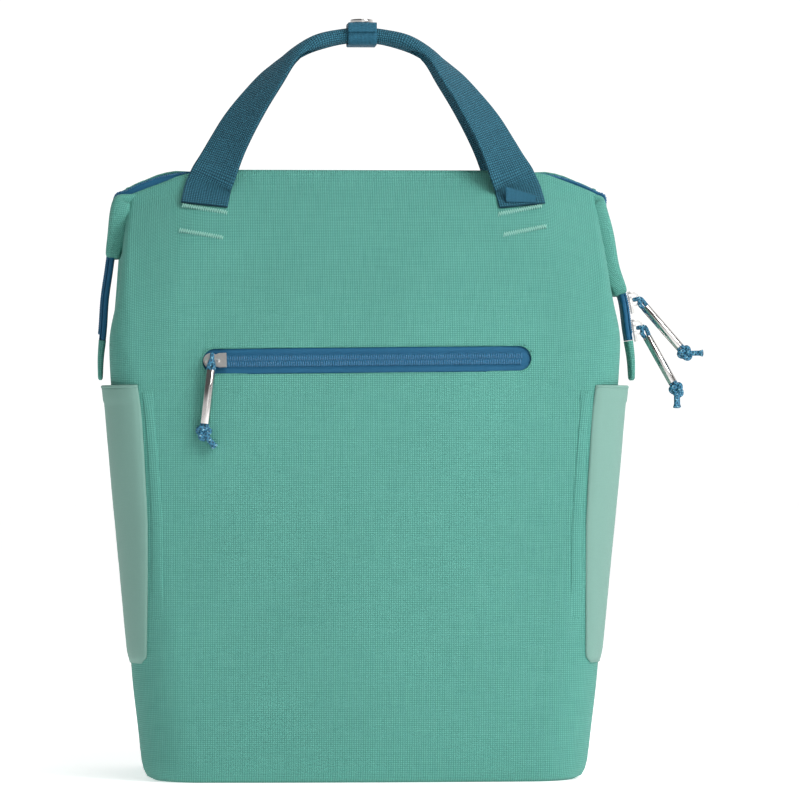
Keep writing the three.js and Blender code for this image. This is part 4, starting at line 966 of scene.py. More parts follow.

# %% [markdown]
# At each end of the ridge the walls' cloth is folded down with the zip. It starts as the two thin rims
# beside the tape, spreads into a broad soft fold as it passes over the corner and narrows again to the
# tape's end. A coarse loft through given sections gives the form, and two levels of subdivision
# round it off as foam-backed cloth rounds off.

# %% The folded ends
fold_half_width = 25 * MM
fold_thickness = 11 * MM
fold_stations = 17
floor_lift = -tape_thickness / 2 - 0.2 * MM
groove = slot_half_width + 0.3 * MM
for side in sides:
    start, end = width_share(side, 141 * MM), drop_share(side, fold_end[side])
    rings = []
    for i in range(fold_stations):
        t = i / (fold_stations - 1)
        middle, out, _ = zip_station(side, lerp(start, end, t))
        half = lerp(slot_half_width + 3.4 * MM, fold_half_width, smooth_step(0.12, 0.55, t))
        half = lerp(half, zip_end_half_width * 1.25, t**3)
        rim = tape_recess * lerp(0.45, 1.0, smooth_step(0.2, 0.6, t)) * lerp(1, 0.75, smooth_step(0.9, 1, t))
        slump = rim_falls[sides[side]] * smooth_step(0.45, 0.1, t)
        deep = lerp(3.5 * MM, fold_thickness, smooth_step(0.1, 0.5, t)) * lerp(1, 0.6, smooth_step(0.7, 1, t))
        profile = [
            (half, floor_lift * 0.6),
            (lerp(half, groove, 0.3), rim * 0.95),
            (lerp(half, groove, 0.8), rim * 1.05),
            (groove, rim * 0.8),
            (groove, floor_lift),
            (groove * 0.4, floor_lift),
        ]
        top = [(-y, lift) for y, lift in profile] + profile[::-1]
        under = [(y * (0.97 if abs(y) > groove else 1.0), -deep) for y, _ in top[::-1]]
        under = [(y, lift - 0.6 * MM * (abs(y) < half * 0.8)) for y, lift in under]
        rise = 2.2 * MM * smooth_step(0.45, 0.15, t)
        rings.append([middle + Vector((0, y, 0)) + out * (lift - slump * smooth_step(0.2 * groove, -groove, y)
                                                          + rise * smooth_step(0.6 * groove, 1.1 * groove, y))
                      for y, lift in top + under])
    ear = lofted(f"folded_end_{side}", rings)
    use_modifier(ear, "SUBSURF", levels=2, render_levels=2)
    bpy.ops.object.shade_smooth()
    dressed(ear, body_cloth, "body_cloth", f"end_fold_{side}")

# %% [markdown]
# The side pockets are smooth stretch cloth, glued and sewn round three edges and open at the top, where
# the elastic stands a little off the wall. Each is one sheet that starts on the wall's front corner,
# wraps the side and ends on the back corner. Its sewn edges sink to the wall, its lower corners are
# rounded, and the mouth ends in a rolled hem.

# %% Side pockets
pocket_mouth = 257 * MM
pocket_bottom = 77 * MM
pocket_gap = 8.5 * MM
pocket_cloth = 1.6 * MM
pocket_edges = [(0, 1.5), (0.5, 1.3), (1, 1.17)]


def pocket_edge(level):
    low, high = pocket_edges[:2] if level <= 0.5 else pocket_edges[1:]
    share = lerp(low[1], high[1], (level - low[0]) / (high[0] - low[0]))
    return share + 0.09 * max(0.0, 1 - level / 0.03) ** 2


def wall_at(height, share):
    """A point on the right front quarter of the wall and its level outward direction."""
    point = quarter_point(height, share)
    near, far = quarter_point(height, share - 0.01), quarter_point(height, min(share + 0.01, 3))
    normal = Vector((near.y - far.y, far.x - near.x, 0)).normalized()
    return point, normal if normal.x >= 0 else -normal


def on_side(point, side, back):
    """A point of the right front quarter of the bag, moved to its own side and to the front or back."""
    return Vector((point.x * sides[side], -point.y if back else point.y, point.z))


def pocket_point(side, around, level, lift=0.0):
    """A pocket point: around runs 0 to 1 between its sewn edges, level from its bottom to its mouth."""
    half = 1 - abs(2 * around - 1)
    point, normal = wall_at(lerp(pocket_bottom, pocket_mouth, level), lerp(pocket_edge(level), 3, half))
    room = pocket_gap * math.sin(half * math.pi / 2) ** 1.5 * level**0.8
    sewn = 1.3 * MM * min(smooth_step(-0.01, 0.06, half), smooth_step(-0.02, 0.05, level))
    slack = 0.5 * MM * math.sin(level * 9 + half * 4) * math.sin(half * 7) * level
    point += normal * (0.6 * MM + room + sewn + slack + lift)
    return on_side(point, side, (around < 0.5) != (side == "right"))


def hem_lift(level):
    return 0.55 * MM * smooth_step(0.945, 0.95, level)


for side in sides:
    pocket = laid_cloth(f"stretch_pocket_{side}", 96, 72,
                        lambda a, u, side=side: pocket_point(side, a, u**0.9, hem_lift(u**0.9)))
    thickened(pocket, pocket_cloth)
    dressed(pocket, stretch_cloth, "pocket_cloth", f"pocket_{side}")
    mouth_lift = hem_lift(1) - pocket_cloth / 2
    mouth = [pocket_point(side, a, 1.0, mouth_lift) for a in np.linspace(0.003, 0.997, 90)]
    hem = lofted(f"pocket_hem_{side}", around_line(mouth, 1.15 * MM, 8))
    dressed(hem, stretch_cloth, "pocket_cloth")

# %% [markdown]
# Beside each pocket's edge a strip of tape is welded behind the cloth, and it shows as a low ridge with
# a rounded top end. It is a narrow sheet of the same cloth that rises from the wall and sinks back.

# %% Welded strips beside the pockets
strip_start, strip_stop = 0.045, 0.2
for side in sides:
    for back in (False, True):
        def strip_place(across, up, side=side, back=back):
            level = lerp(0.12, 0.985, up)
            share = pocket_edge(level) - lerp(strip_start, strip_stop, across)
            point, normal = wall_at(lerp(pocket_bottom, pocket_mouth, level), share)
            dome = max(math.sin(across * math.pi), 0) ** 0.35
            dome = dome * smooth_step(0, 0.3, up) * smooth_step(1, 0.985, up)
            relief = 0 if back else wall_relief(on_side(point, side, False), share)
            point = point + normal * (0.8 * MM * dome - 0.08 * MM) + inward_at(share) * relief
            return on_side(point, side, back)

        strip = laid_cloth(f"welded_strip_{side}_{'back' if back else 'front'}", 14, 90, strip_place)
        if (side == "right") != back:
            choose(strip)
            bpy.ops.object.mode_set(mode="EDIT")
            bpy.ops.mesh.select_all(action="SELECT")
            bpy.ops.mesh.flip_normals()
            bpy.ops.object.mode_set(mode="OBJECT")
        dressed(thickened(strip, 0.3 * MM), body_cloth, "body_cloth")

# %% [markdown]
# The handles are 31 mm webbing. Each leg is sewn flat to the wall, leans in, turns to face outwards and
# is folded lengthwise into a narrow grip. A table gives stations along one leg: how far out and up and
# how deep, how far the webbing has turned, and how far it is rolled; the sweep between them is smooth.

# %% Webbing handles
webbing_width = 31 * MM
webbing_thickness = 1.6 * MM
handle_half_span = 104 * MM
handle_foot = ridge_height - 20.5 * MM
handle_sewn = 8 * MM
handle_top = ridge_height + 95 * MM
grip_height = 10 * MM
grip_depth = 11.5 * MM
grip_gap = 0.6 * MM
# out, rise, depth, turn, roll
handle_leg = [
    (0.95, 0.145, 0.72, 20, 0.0),
    (0.912, 0.22, 0.66, 30, 0.0),
    (0.86, 0.32, 0.58, 38, 0.0),
    (0.785, 0.446, 0.5, 44, 0.0),
    (0.682, 0.59, 0.41, 52, 0.03),
    (0.556, 0.745, 0.33, 61, 0.12),
    (0.452, 0.865, 0.26, 72, 0.42),
    (0.31, 0.95, 0.2, 87, 0.96),
    (0.14, 0.99, 0.0, 90, 1.0),
]


def handle_stations():
    foot, _ = face_point(handle_half_span, handle_foot)
    foot_depth = -foot.y + seam_gap + webbing_thickness / 2
    grip_centre = (grip_depth + grip_gap) / 2
    rise = handle_top - webbing_thickness / 2 - foot.z
    leg = []
    for out, up, depth, turned, roll in handle_leg:
        y = -lerp(grip_centre, foot_depth, depth)
        leg.append((out * handle_half_span, y, foot.z + seam_gap + up * rise, turned, roll, 0, -1, 0))
    sewn = []
    for height in (handle_foot - 4.5 * MM, handle_foot + handle_sewn):
        point, normal = face_point(handle_half_span * (1 - (height - handle_foot) / MM * 0.0022), height)
        point += normal * (2 * seam_gap + webbing_thickness / 2)
        sewn.append((point.x, point.y, point.z, 0, 0, normal.x, normal.y, normal.z))
    right = sewn + leg
    crown = (0, -grip_centre, foot.z + seam_gap + rise, 90, 1.0, 0, -1, 0)
    left = [(-row[0], *row[1:5], -row[5], *row[6:]) for row in right]
    return left + [crown] + right[::-1]


def webbing_ring(centre, along, face, turned, roll, flip_y):
    face = (face - along * along.dot(face)).normalized()
    outward = Vector((-along.z, 0, along.x)).normalized()
    out = (face * math.cos(turned) + outward * math.sin(turned)).normalized()
    across = out.cross(along).normalized()
    half_deep = (grip_depth - webbing_thickness) / 2
    half_high = (grip_height - webbing_thickness) / 2

    def local(s):
        angle = s * 2.75
        return (lerp(s * webbing_width / 2, half_deep * math.sin(angle), roll),
                lerp(0, half_high * (1 - math.cos(angle)), roll))

    columns = [2 * i / 30 - 1 for i in range(31)]
    ring = []
    for face_side in (1, -1):
        for s in columns if face_side == 1 else columns[::-1]:
            (a0, b0), (a, b), (a1, b1) = local(s - 0.02), local(s), local(s + 0.02)
            length = math.hypot(a1 - a0, b1 - b0)
            thick = webbing_thickness / 2 * face_side * min(1, 0.55 + (1 - abs(s)) * 6)
            point = centre + across * (a + (b1 - b0) / length * thick)
            point -= out * (b - (a1 - a0) / length * thick)
            ring.append(Vector((point.x, point.y * flip_y, point.z)))
    return ring


handle_steps = 220
handle_line = smooth_line(handle_stations(), handle_steps)
for name, flip_y in (("front", 1), ("back", -1)):
    rings = []
    for i, row in enumerate(handle_line):
        before, after = handle_line[max(i - 2, 0)], handle_line[min(i + 2, handle_steps)]
        along = Vector(after[:3] - before[:3]).normalized()
        face, turned = Vector(row[5:8]), math.radians(row[3])
        rings.append(webbing_ring(Vector(row[:3]), along, face, turned, row[4], flip_y))
    dressed(lofted(f"webbing_handle_{name}", rings), webbing_cloth, "webbing", f"handle_{name}")
print("handle length", round(line_length(handle_line[:, :3]) / MM), "mm")

# %% [markdown]
# The keeper is a short strap that wraps both grips and snaps shut on top. It is modelled as the flat
# strip that it is, bent round a rounded rectangle, with its overlapping end as a second layer, and the
# snap is a cylinder with its rim bevelled and its top pressed in.

# %% Keeper and snap
keeper_length = 19 * MM
keeper_thickness = 1.6 * MM
keeper_half_depth = grip_depth + grip_gap / 2 + seam_gap + keeper_thickness / 2
keeper_low = handle_top - grip_height - seam_gap - keeper_thickness / 2
keeper_high = handle_top + seam_gap + keeper_thickness / 2
snap_radius = 7.6 * MM
snap_height = 2.6 * MM


def keeper_path(share, outwards=0.0):
    """A place round the keeper's loop, from the middle of its underside towards the front."""
    corner = 5.2 * MM
    wide, low, high = keeper_half_depth + outwards, keeper_low - outwards, keeper_high + outwards
    stops = []
    for cy, cz, first in ((-wide + corner, low + corner, -90), (-wide + corner, high - corner, -180),
                          (wide - corner, high - corner, -270), (wide - corner, low + corner, -360)):
        for k in range(9):
            turned = math.radians(first - 90 * k / 8)
            stops.append((cy + corner * math.cos(turned), cz + corner * math.sin(turned)))
    stops = [(0, low)] + stops + [(0, low)]
    run = [0.0]
    for (y0, z0), (y1, z1) in zip(stops, stops[1:]):
        run.append(run[-1] + math.hypot(y1 - y0, z1 - z0))
    at = share * run[-1]
    return [float(np.interp(at, run, [stop[axis] for stop in stops])) for axis in (0, 1)]


def keeper_place(across, up, start, stop, outwards):
    y, z = keeper_path(lerp(start, stop, up), outwards)
    bow = 0.3 * MM * math.sin(up * 2 * math.pi)
    return Vector(((across - 0.5) * keeper_length + bow, y, z))


loop = laid_cloth("keeper_loop", 16, 80, lambda a, u: keeper_place(a, u, 0, 1, 0))
closed_up(loop, False)
flap = laid_cloth("keeper_flap", 16, 50, lambda a, u: keeper_place(a, u, 0.27, 0.73, keeper_thickness))
for piece in (loop, flap):
    thickened(piece, keeper_thickness, 0)
    use_modifier(piece, "BEVEL", width=0.4 * MM, segments=2, limit_method="ANGLE")
    bpy.ops.object.shade_smooth_by_angle(angle=math.radians(50))
dressed(loop, keeper_twill, "webbing", "handle_keeper")
dressed(flap, keeper_twill, "webbing")

snap_floor = keeper_high + keeper_thickness * 1.5
clear_selection()
bpy.ops.mesh.primitive_cylinder_add(vertices=48, radius=snap_radius, depth=snap_height,
                                    location=(0, 0, snap_floor + snap_height / 2))
snap = bpy.context.object
snap.name = snap.data.name = "snap_cap"
bpy.ops.object.transform_apply(location=True, rotation=True, scale=True)
bpy.ops.object.mode_set(mode="EDIT")
bpy.ops.mesh.select_mode(type="FACE")
bpy.ops.mesh.select_all(action="DESELECT")
bpy.ops.object.mode_set(mode="OBJECT")
for face in snap.data.polygons:
    face.select = face.normal.z > 0.9
bpy.ops.object.mode_set(mode="EDIT")
bpy.ops.mesh.inset(thickness=snap_radius * 0.2, depth=0)
bpy.ops.mesh.inset(thickness=snap_radius * 0.12, depth=-snap_height * 0.28)
bpy.ops.mesh.inset(thickness=snap_radius * 0.3, depth=snap_height * 0.12)
bpy.ops.object.mode_set(mode="OBJECT")
use_modifier(snap, "BEVEL", width=0.5 * MM, segments=3, limit_method="ANGLE")
bpy.ops.object.shade_smooth_by_angle(angle=math.radians(40))
dressed(snap, chrome, "metal", "keeper_snap")

# %% [markdown]
# A folded tab of thin cloth is caught under the right leg's foot. It is a small loop of sheet that
# stands off the webbing at its left end and lies flat at its right.

# %% Folded tab
tab_width = 20 * MM
tab_reach = 9 * MM
tab_steps = 30
# up the webbing as shares of the tab's reach, and out from it in millimetres
tab_loop = [(0, 1.0), (0.5, 3.4), (0.95, 5.2), (1.06, 5.0), (1.0, 4.0), (0.55, 1.9)]
tab_foot, tab_normal = face_point(handle_half_span, handle_foot - 3 * MM)
tab_foot += tab_normal * (webbing_thickness * 0.8 + seam_gap)
tab_up = (Vector((0, 0, 1)) - tab_normal * tab_normal.z).normalized()
tab_line = smooth_line([tab_up * (u * tab_reach) + tab_normal * (o * MM) for u, o in tab_loop], tab_steps)


def tab_place(across, up):
    flatten = lerp(1.0, 0.45, across)
    offset = Vector(tab_line[round(up * tab_steps)]) * flatten
    return tab_foot + offset + Vector(((across - 0.5) * tab_width, 0, 0))


folded_tab = laid_cloth("folded_cloth_tab", 20, tab_steps, tab_place)
dressed(thickened(folded_tab, 0.9 * MM, 0), keeper_twill, "zip_cloth", "handle_tab")

# %% [markdown]
# The handles are held by dense zigzag stitching, in pale thread, below each foot and again lower down,
# where it goes through to a patch inside. A zigzag of thread is one thin cord whose line rises out of
# the cloth between its needle holes.

# %% Bar tacks
def zigzag(start, end, height, count):
    """Points of a zigzag on the front face from start to end, each given as x and height."""
    def needle_hole(i):
        t = i / (2 * count)
        return lerp(start[0], end[0], t), lerp(start[1], end[1], t) + height * (0.5 if i % 2 else -0.5)

    points = []
    for i in range(2 * count + 1):
        (x, z), (next_x, next_z) = needle_hole(i), needle_hole(i + 1)
        for k in range(4):
            s = k / 4
            nx = lerp(x, next_x, s)
            point, normal = face_point(nx, lerp(z, next_z, s))
            inset = Vector((0, 1, 0)) * wall_relief(point, abs(nx) / (half_width - corner_radius * 0.5))
            points.append(point + inset + normal * (0.1 + 0.45 * math.sin(s * math.pi)) * MM)
    return points


thread_radius = 0.3 * MM
# start, end and height of each row
tack_rows = [
    ((-0.1195, 0.3765), (-0.0905, 0.3715), 3.1 * MM),
    ((-0.1215, 0.3595), (-0.0935, 0.3545), 3.1 * MM),
    ((0.0888, 0.3708), (0.1175, 0.3765), 3.1 * MM),
    ((0.0915, 0.3568), (0.1195, 0.3625), 3.1 * MM),
]
for number, (start, end, height) in enumerate(tack_rows):
    thread = around_line(zigzag(start, end, height, 19), thread_radius, 6)
    dressed(lofted(f"bar_tack_{number}", thread), stitch_thread, "body_cloth")

# %% [markdown]
# Each zip pull is a steel tube threaded on a doubled cord. The cord goes round the bridge of the
# slider, both strands run through the tube and a real overhand knot stops them, with two short tails.
# The pull is modelled hanging straight down from its own origin, and one matrix puts each copy where
# the slider's bridge is, turned the way that it hangs.

# %% Braided cord
def braid_finish(name, colour, low_colour, fleck):
    """Two sets of strands that cross at a slant, with a pale fleck here and there; the raised strands get
    painted highlight and the grooves painted shade.
    """
    finish, tree, shader = new_finish(name, 0.6)
    _, (across, along) = thread_places(tree, (1.0 * MM, 1.0 * MM))
    slants = [maths(tree, "SINE", maths(tree, "MULTIPLY", maths(tree, operation, across, along), 1.9))
              for operation in ("ADD", "SUBTRACT")]
    bump = maths(tree, "MAXIMUM", slants[0], slants[1])
    # Painted highlight on the raised strands and painted shade in the grooves between them.
    low_high = mixed(tree, maths(tree, "MULTIPLY_ADD", bump, 0.5, 0.5), low_colour, colour)
    flecks = maths(tree, "GREATER_THAN", maths(tree, "SINE", maths(tree, "MULTIPLY", along, 1.3)), 0.96)
    place = maths(tree, "MULTIPLY", flecks, maths(tree, "GREATER_THAN", slants[0], 0.2))
    tree.links.new(mixed(tree, place, low_high, fleck), shader.inputs["Base Color"])
    tree.links.new(node(tree, "Bump", {"Strength": 0.9, "Distance": 0.25 * MM, "Height": bump}).outputs[0],
                   shader.inputs["Normal"])
    return finish


braided_cord = braid_finish("braided_cord", rgb("34799a"), rgb("0d3549"), rgb("93c6cf"))

# %% [markdown]
# The sliders sit on the coil. A pull hangs from its slider's bridge, so its place follows from the
# slider's seat, the way that the zip runs there and the way that the pull hangs.

# %% Where the sliders and pulls are
tube_length = 35 * MM
tube_radius = 3.15 * MM
cord_radius = 1.45 * MM
loop_drop = 7.4 * MM
crown_rise = 6.6 * MM
crown_thickness = 1.1 * MM
crown_shift = -1.6 * MM
coil_height = 1.2 * MM


def pull_frame(seat, along, out, hang):
    """The matrix of a pull that hangs from a slider's bridge, and where the cord's loop tops it."""
    bridge = seat + out * (crown_rise - crown_thickness / 2) + along * crown_shift
    up = -hang.normalized()
    wrap = (up - along * up.dot(along)).normalized()
    back = wrap.cross(along).normalized()
    right = back.cross(up).normalized()
    return axes_at(bridge, right, back, up), Vector((wrap.dot(right), 0, wrap.dot(up)))


pull_frames = {}
slider_x = -front_zip_length / 2 + 8.5 * MM
seat, seat_normal = face_point(slider_x, front_zip_height + slider_x * front_zip_slope)
slider_seat = seat + seat_normal * 0.82 * MM
hang_to, hang_normal = face_point(slider_x - 5 * MM, front_zip_height - tube_length - loop_drop)
tube_foot = hang_to + hang_normal * (tube_radius + 1.6 * MM)
pull_frames["front"] = (pull_frame(slider_seat, Vector((1, 0, front_zip_slope)).normalized(), seat_normal,
                                   tube_foot - slider_seat - seat_normal * crown_rise), 45)
for name, drop, hang, tail in (("main_upper", 0.585, (0.65, -0.1, -0.76), -50),
                               ("main_lower", 0.735, (0.48, -0.12, -0.88), 29)):
    middle, out, along = zip_station("right", drop_share("right", drop))
    slider_seat = middle + out * (tape_thickness / 2 + coil_height + 2.9 * seam_gap)
    pull_frames[name] = (pull_frame(slider_seat, along, out, Vector(hang)), tail)
for name, ((place, _), _) in pull_frames.items():
    print(name, "pull hangs from", [round(v, 4) for v in place.translation])

# %% [markdown]
# The knot is a swept trefoil, the simplest closed knot, drawn in tight. It reads as the overhand knot
# that it stands for from every side. The strands above it and the tails below are swept the same way.

# %% Pulls: cord, knot and tube
knot_reach = 3.9 * MM
tail_length = 11 * MM


def knot_line(middle, count=72):
    points = []
    for i in range(count + 1):
        t = 2 * math.pi * i / count
        x, z = math.sin(t) + 2 * math.sin(2 * t), math.cos(t) - 2 * math.cos(2 * t)
        points.append(middle + Vector((x, -math.sin(3 * t) * 1.25, z)) * knot_reach / 3)
    return points


def tail_radius(t):
    """The tails are thicker than the cord and fray open towards their ends."""
    return cord_radius * (1.2 + 0.4 * smooth_step(0.75, 1, t))


back, side, down = Vector((0, 1, 0)), Vector((1, 0, 0)), Vector((0, 0, -1))
strand = cord_radius + 0.05 * MM
room = 1.3 * MM + cord_radius
knot_middle = Vector((0, 0, -(loop_drop + tube_length + knot_reach + cord_radius + 0.4 * MM)))
for name, ((place, top), tail_turn) in pull_frames.items():
    halves = []
    for way in (-1, 1):
        halves.append([
            side * way * strand + knot_middle,
            side * way * strand + down * loop_drop,
            back * way * room * 0.8 + side * way * strand * 0.95 + down * loop_drop * 0.55,
            back * way * room + side * way * strand * 0.2 - top * room * 0.35,
            back * way * room * 0.75 + top * room * 0.7,
        ])
    line = smooth_line([tuple(p) for p in halves[0] + [top * room] + halves[1][::-1]], 90)
    knot = around_line(knot_line(knot_middle), cord_radius * 1.22, 12)
    parts = [lofted(f"{name}_cord_loop", around_line(line, cord_radius, 12)), lofted(f"{name}_knot", knot)]
    turned = math.radians(tail_turn)
    away = Vector((math.sin(turned), 0, -math.cos(turned)))
    for way in (-1, 1):
        spread = [knot_middle + back * way * s * MM + away * (0.2 * knot_reach + r * tail_length)
                  for r, s in ((0.0, 0.6), (0.35, 1.5), (0.75, 1.7), (1.0, 2.3 if way > 0 else 1.6))]
        tail = smooth_line([tuple(p) for p in spread], 20)
        parts.append(lofted(f"{name}_tail_{way}", around_line(tail, tail_radius, 12)))
    pull_cord = joined(f"{name}_pull_cord_loop", parts)
    pull_cord.data.transform(place)
    dressed(pull_cord, braided_cord, "webbing", f"{name}_pull_cord")
    bpy.ops.mesh.primitive_cylinder_add(vertices=48, radius=tube_radius, depth=tube_length,
                                        end_fill_type="NOTHING",
                                        location=(0, 0, -loop_drop - tube_length / 2))
    tube = bpy.context.object
    tube.name = tube.data.name = f"{name}_steel_tube"
    bpy.ops.object.transform_apply(location=True, rotation=True, scale=True)
    thickened(tube, 0.5 * MM)
    sharp = math.radians(40)
    use_modifier(tube, "BEVEL", width=0.15 * MM, segments=2, limit_method="ANGLE", angle_limit=sharp)
    bpy.ops.object.shade_smooth_by_angle(angle=sharp)
    tube.data.transform(place)
    dressed(tube, chrome, "metal", f"{name}_pull_tube")

# %% [markdown]
# The sliders are the solids of the model itself, cast metal with a bridge over a plate. They only need
# their finish.

# %% Metal sliders
for name in pull_frames:
    painted(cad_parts[f"{name}_slider"], cast_metal)
print("sliders finished:", list(pull_frames))

# %% [markdown]
# The back carries two padded shoulder straps. Each starts just below a cloth yoke, bows out from the
# back and ends in a ladder buckle, from which webbing runs down to the corner of the base. The photograph does
# not show them, so they are plain: a soft pad with a bound edge, as on any backpack of this kind.

# %% Shoulder straps: sizes and line
strap_half_spacing = 52 * MM
strap_top = 336 * MM
strap_width = 54 * MM
strap_padding = 8 * MM
strap_foot_spacing = 92 * MM
strap_foot = 40 * MM
strap_webbing = 25 * MM
strap_reach = 36 * MM
buckle_height = 24 * MM
buckle_thickness = 2.6 * MM
buckle_bar = 3.5 * MM
yoke_height = 16 * MM
yoke_thickness = 2 * MM
clasp_length = 13 * MM
pad_end = 0.6
buckle_share = 0.66
# down, bow, out
strap_line = [
    (0.0, 0.0, 0.0),
    (0.05, 0.06, 0.0),
    (0.2, 0.56, 0.03),
    (0.38, 0.94, 0.12),
    (0.54, 1.0, 0.3),
    (0.68, 0.82, 0.5),
    (0.82, 0.46, 0.72),
    (0.92, 0.06, 0.9),
    (1.0, 0.0, 1.0),
]


def strap_points(flip):
    top = face_point(strap_half_spacing, strap_top, True)[0]
    foot = face_point(strap_foot_spacing, strap_foot, True)[0]
    back = face_point(0, half_depth * 2, True)[0].y
    points = []
    for down, bow, out in strap_line:
        height = lerp(strap_top, strap_foot, down)
        x = lerp(strap_half_spacing, strap_foot_spacing, out)
        rest = lerp(face_point(x, height, True)[0].y, back, smooth_step(0, 1, bow))
        y = rest + strap_padding / 2 + seam_gap + bow * strap_reach
        points.append((x * flip, y, lerp(top.z, foot.z, down)))
    return points


strap_path = {side: smooth_line(strap_points(flip), path_steps) for side, flip in sides.items()}
strap_length = line_length(strap_path["left"])
print("strap line", round(strap_length / MM), "mm")


def strap_station(side, share):
    """Middle, sideways, outward directions of a strap at a share of its length."""
    middle, along = place_on(strap_path[side], share, 2, 3)
    across = (Vector((1, 0, 0)) - along * along.x).normalized()
    out = across.cross(along).normalized()
    return middle, across, out if out.y > 0 else -out


# %% [markdown]
# A pad's section is a lens with full edges. Its rim is bound with a thin tape that is swept round the
# pad as a bead, and shallow quilted channels cross it every few centimetres.

# %% Strap pads
pad_start = 0.004
pad_channels = (0.22, 0.42, 0.62, 0.82)


def pad_half(t):
    """Half the pad's width at a share of its length: narrower at its top, and much so at its foot."""
    return strap_width / 2 * (1 - 0.42 * smooth_step(0.62, 1, t) - 0.1 * (1 - smooth_step(0, 0.2, t)))


def pad_ring(side, t):
    middle, across, out = strap_station(side, lerp(pad_start, pad_end, t))
    half = pad_half(t)
    thick = strap_padding * (0.55 + 0.45 * math.sin(math.pi * min(max(t * 1.1, 0.04), 0.96)))
    channel = max(math.exp(-(((t - c) / 0.012) ** 2)) for c in pad_channels)
    ring = []
    for a, b in flat_loop(half, thick, 36, square=0.45):
        quilt = 1 - 0.3 * channel * (1 - (a / half) ** 4)
        ring.append(middle + across * a + out * b * quilt)
    return ring


def pad_edge(side, t, way):
    middle, across, _ = strap_station(side, lerp(pad_start, pad_end, t))
    return middle + across * way * (pad_half(t) - 0.3 * MM)


for side in sides:
    pad = lofted(f"shoulder_pad_{side}", [pad_ring(side, t) for t in np.linspace(0, 1, 110)])
    dressed(pad, pad_cloth, "body_cloth", f"strap_pad_{side}")
    edge = [pad_edge(side, t, -1) for t in np.linspace(0.01, 1, 60)]
    edge += [pad_edge(side, t, 1) for t in np.linspace(1, 0.01, 60)]
    binding = lofted(f"pad_binding_{side}", around_line(edge, 1.5 * MM, 8))
    dressed(binding, zip_tape_cloth, "webbing")
    painted(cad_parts[f"strap_buckle_{side}"], buckle_plastic)

# %% [markdown]
# The webbing below the pad is a ribbon whose middle line is given beside the strap's own line: how far
# down from the buckle, and how far in front of or behind it. It passes over the buckle's bars.

# %% Strap webbing and loops
bar_clear = buckle_thickness / 2 + webbing_thickness / 2 + 2.5 * seam_gap
turn_reach = webbing_thickness / 2 + 1.6 * seam_gap


def bar_turn(edge, way):
    return [
        (edge - way * 0.9 * MM, -bar_clear, 0),
        (edge + way * turn_reach * 0.5, -bar_clear * 0.87, 0),
        (edge + way * turn_reach, -bar_clear * 0.45, 0),
        (edge + way * turn_reach, bar_clear * 0.45, 0),
        (edge + way * turn_reach * 0.5, bar_clear * 0.87, 0),
        (edge - way * 0.9 * MM, bar_clear, 0),
    ]


def ribbon(name, side, points, half, steps):
    hub, hub_across, hub_out = strap_station(side, buckle_share)
    along = hub_across.cross(hub_out).normalized()
    along = -along if along.z > 0 else along
    line = []
    for down, out, free in points:
        straight = hub + along * down + hub_out * out
        near, _, near_out = strap_station(side, buckle_share + down / strap_length)
        curved = near + near_out * out
        bend = smooth_step(buckle_height * 0.6, buckle_height * 1.3, abs(down)) * (1 - free)
        line.append(tuple(straight.lerp(curved, bend)))
    line = [Vector(p) for p in smooth_line(line, steps)]
    section = flat_loop(half, webbing_thickness, 24, 0.85)
    rings = []
    for i, point in enumerate(line):
        tangent = (line[min(i + 1, steps)] - line[max(i - 1, 0)]).normalized()
        normal = hub_across.cross(tangent).normalized()
        rings.append([point + hub_across * a + normal * b for a, b in section])
    return lofted(name, rings)


pad_foot = -(buckle_share - pad_end) * strap_length
clasp = strap_padding * 0.36 + webbing_thickness / 2 + 3 * seam_gap
run = (1 - buckle_share) * strap_length
flat_lift = -(strap_padding / 2 - webbing_thickness / 2 - 4 * seam_gap)
front_half = [(pad_foot - clasp_length, -clasp, 0), (pad_foot - clasp_length / 2, -clasp, 0),
              (pad_foot, -clasp, 0), (pad_foot + 4 * MM, -(clasp + bar_clear) / 2, 0)]
back_half = [(down, -out, free) for down, out, free in front_half[::-1]]
loop_points = front_half + bar_turn(-buckle_height / 2 + buckle_bar, 1) + back_half
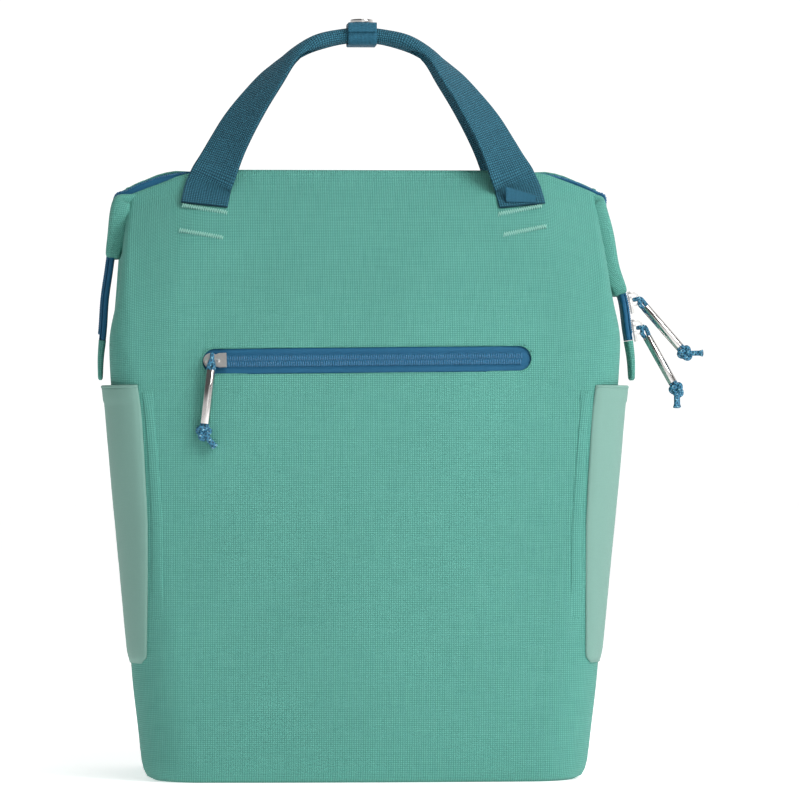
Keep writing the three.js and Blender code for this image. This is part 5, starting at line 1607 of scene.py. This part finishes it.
# down and lift as shares of the run and of the flat lift, from the strap's foot up
web_foot = ((1, 1), (0.93, 1), (0.85, 0.9), (0.76, 0.75), (0.6, 0.75), (0.4, 0.85))
web_points = [(run * down, flat_lift * lift, 0) for down, lift in web_foot]
web_points += [(buckle_height * 0.75, -bar_clear, 0), (buckle_height * 0.5, -bar_clear, 0)]
web_points += bar_turn(-buckle_bar / 2, -1)
web_points += [(buckle_height * 0.5, bar_clear, 0), (buckle_height, bar_clear * 1.1, 1),
               (run * 0.5, bar_clear * 1.5, 1), (run * 0.72, bar_clear * 2.4, 1)]
for side in sides:
    for name, node_name, points, steps in (("buckle_loop", "strap_loop", loop_points, 90),
                                           ("strap_webbing", "strap_web", web_points, 150)):
        band = ribbon(f"{name}_{side}", side, points, strap_webbing / 2, steps)
        dressed(band, webbing_cloth, "webbing", f"{node_name}_{side}")

# %% [markdown]
# The yoke is a band of webbing cloth sewn across the back, just above the straps' tops, with two lines
# of stitching.

# %% Yoke
def yoke_place(across, up, lift=0.0):
    half = strap_half_spacing + strap_width * 0.62
    height = strap_top + 2.5 * seam_gap + 1 * MM + up * yoke_height
    point, normal = face_point(half * (1 - 2 * across), height, True)
    return point + normal * (yoke_thickness + 2 * seam_gap + lift)


yoke = laid_cloth("back_yoke", 90, 12, yoke_place)
thickened(yoke, yoke_thickness)
use_modifier(yoke, "BEVEL", width=0.5 * MM, segments=2, limit_method="ANGLE", angle_limit=math.radians(60))
dressed(yoke, webbing_cloth, "webbing", "strap_yoke")


def stitch_row(name, place, count, finish, slot_name):
    """Short separate stitches along a row; each lies in a shallow arch between its two holes."""
    lines = []
    for i in range(count):
        points = [place((i + 0.12 + 0.76 * k / 5) / count, 0.35 * MM * math.sin(math.pi * k / 5))
                  for k in range(6)]
        lines.append(lofted(f"{name}_{i}", around_line(points, thread_radius, 6)))
    return dressed(joined(name, lines), finish, slot_name)


for number, up in enumerate((0.16, 0.84)):
    stitch_row(f"yoke_stitches_{number}", lambda t, lift, up=up: yoke_place(0.02 + 0.96 * t, up, lift), 46,
               blue_thread, "webbing")
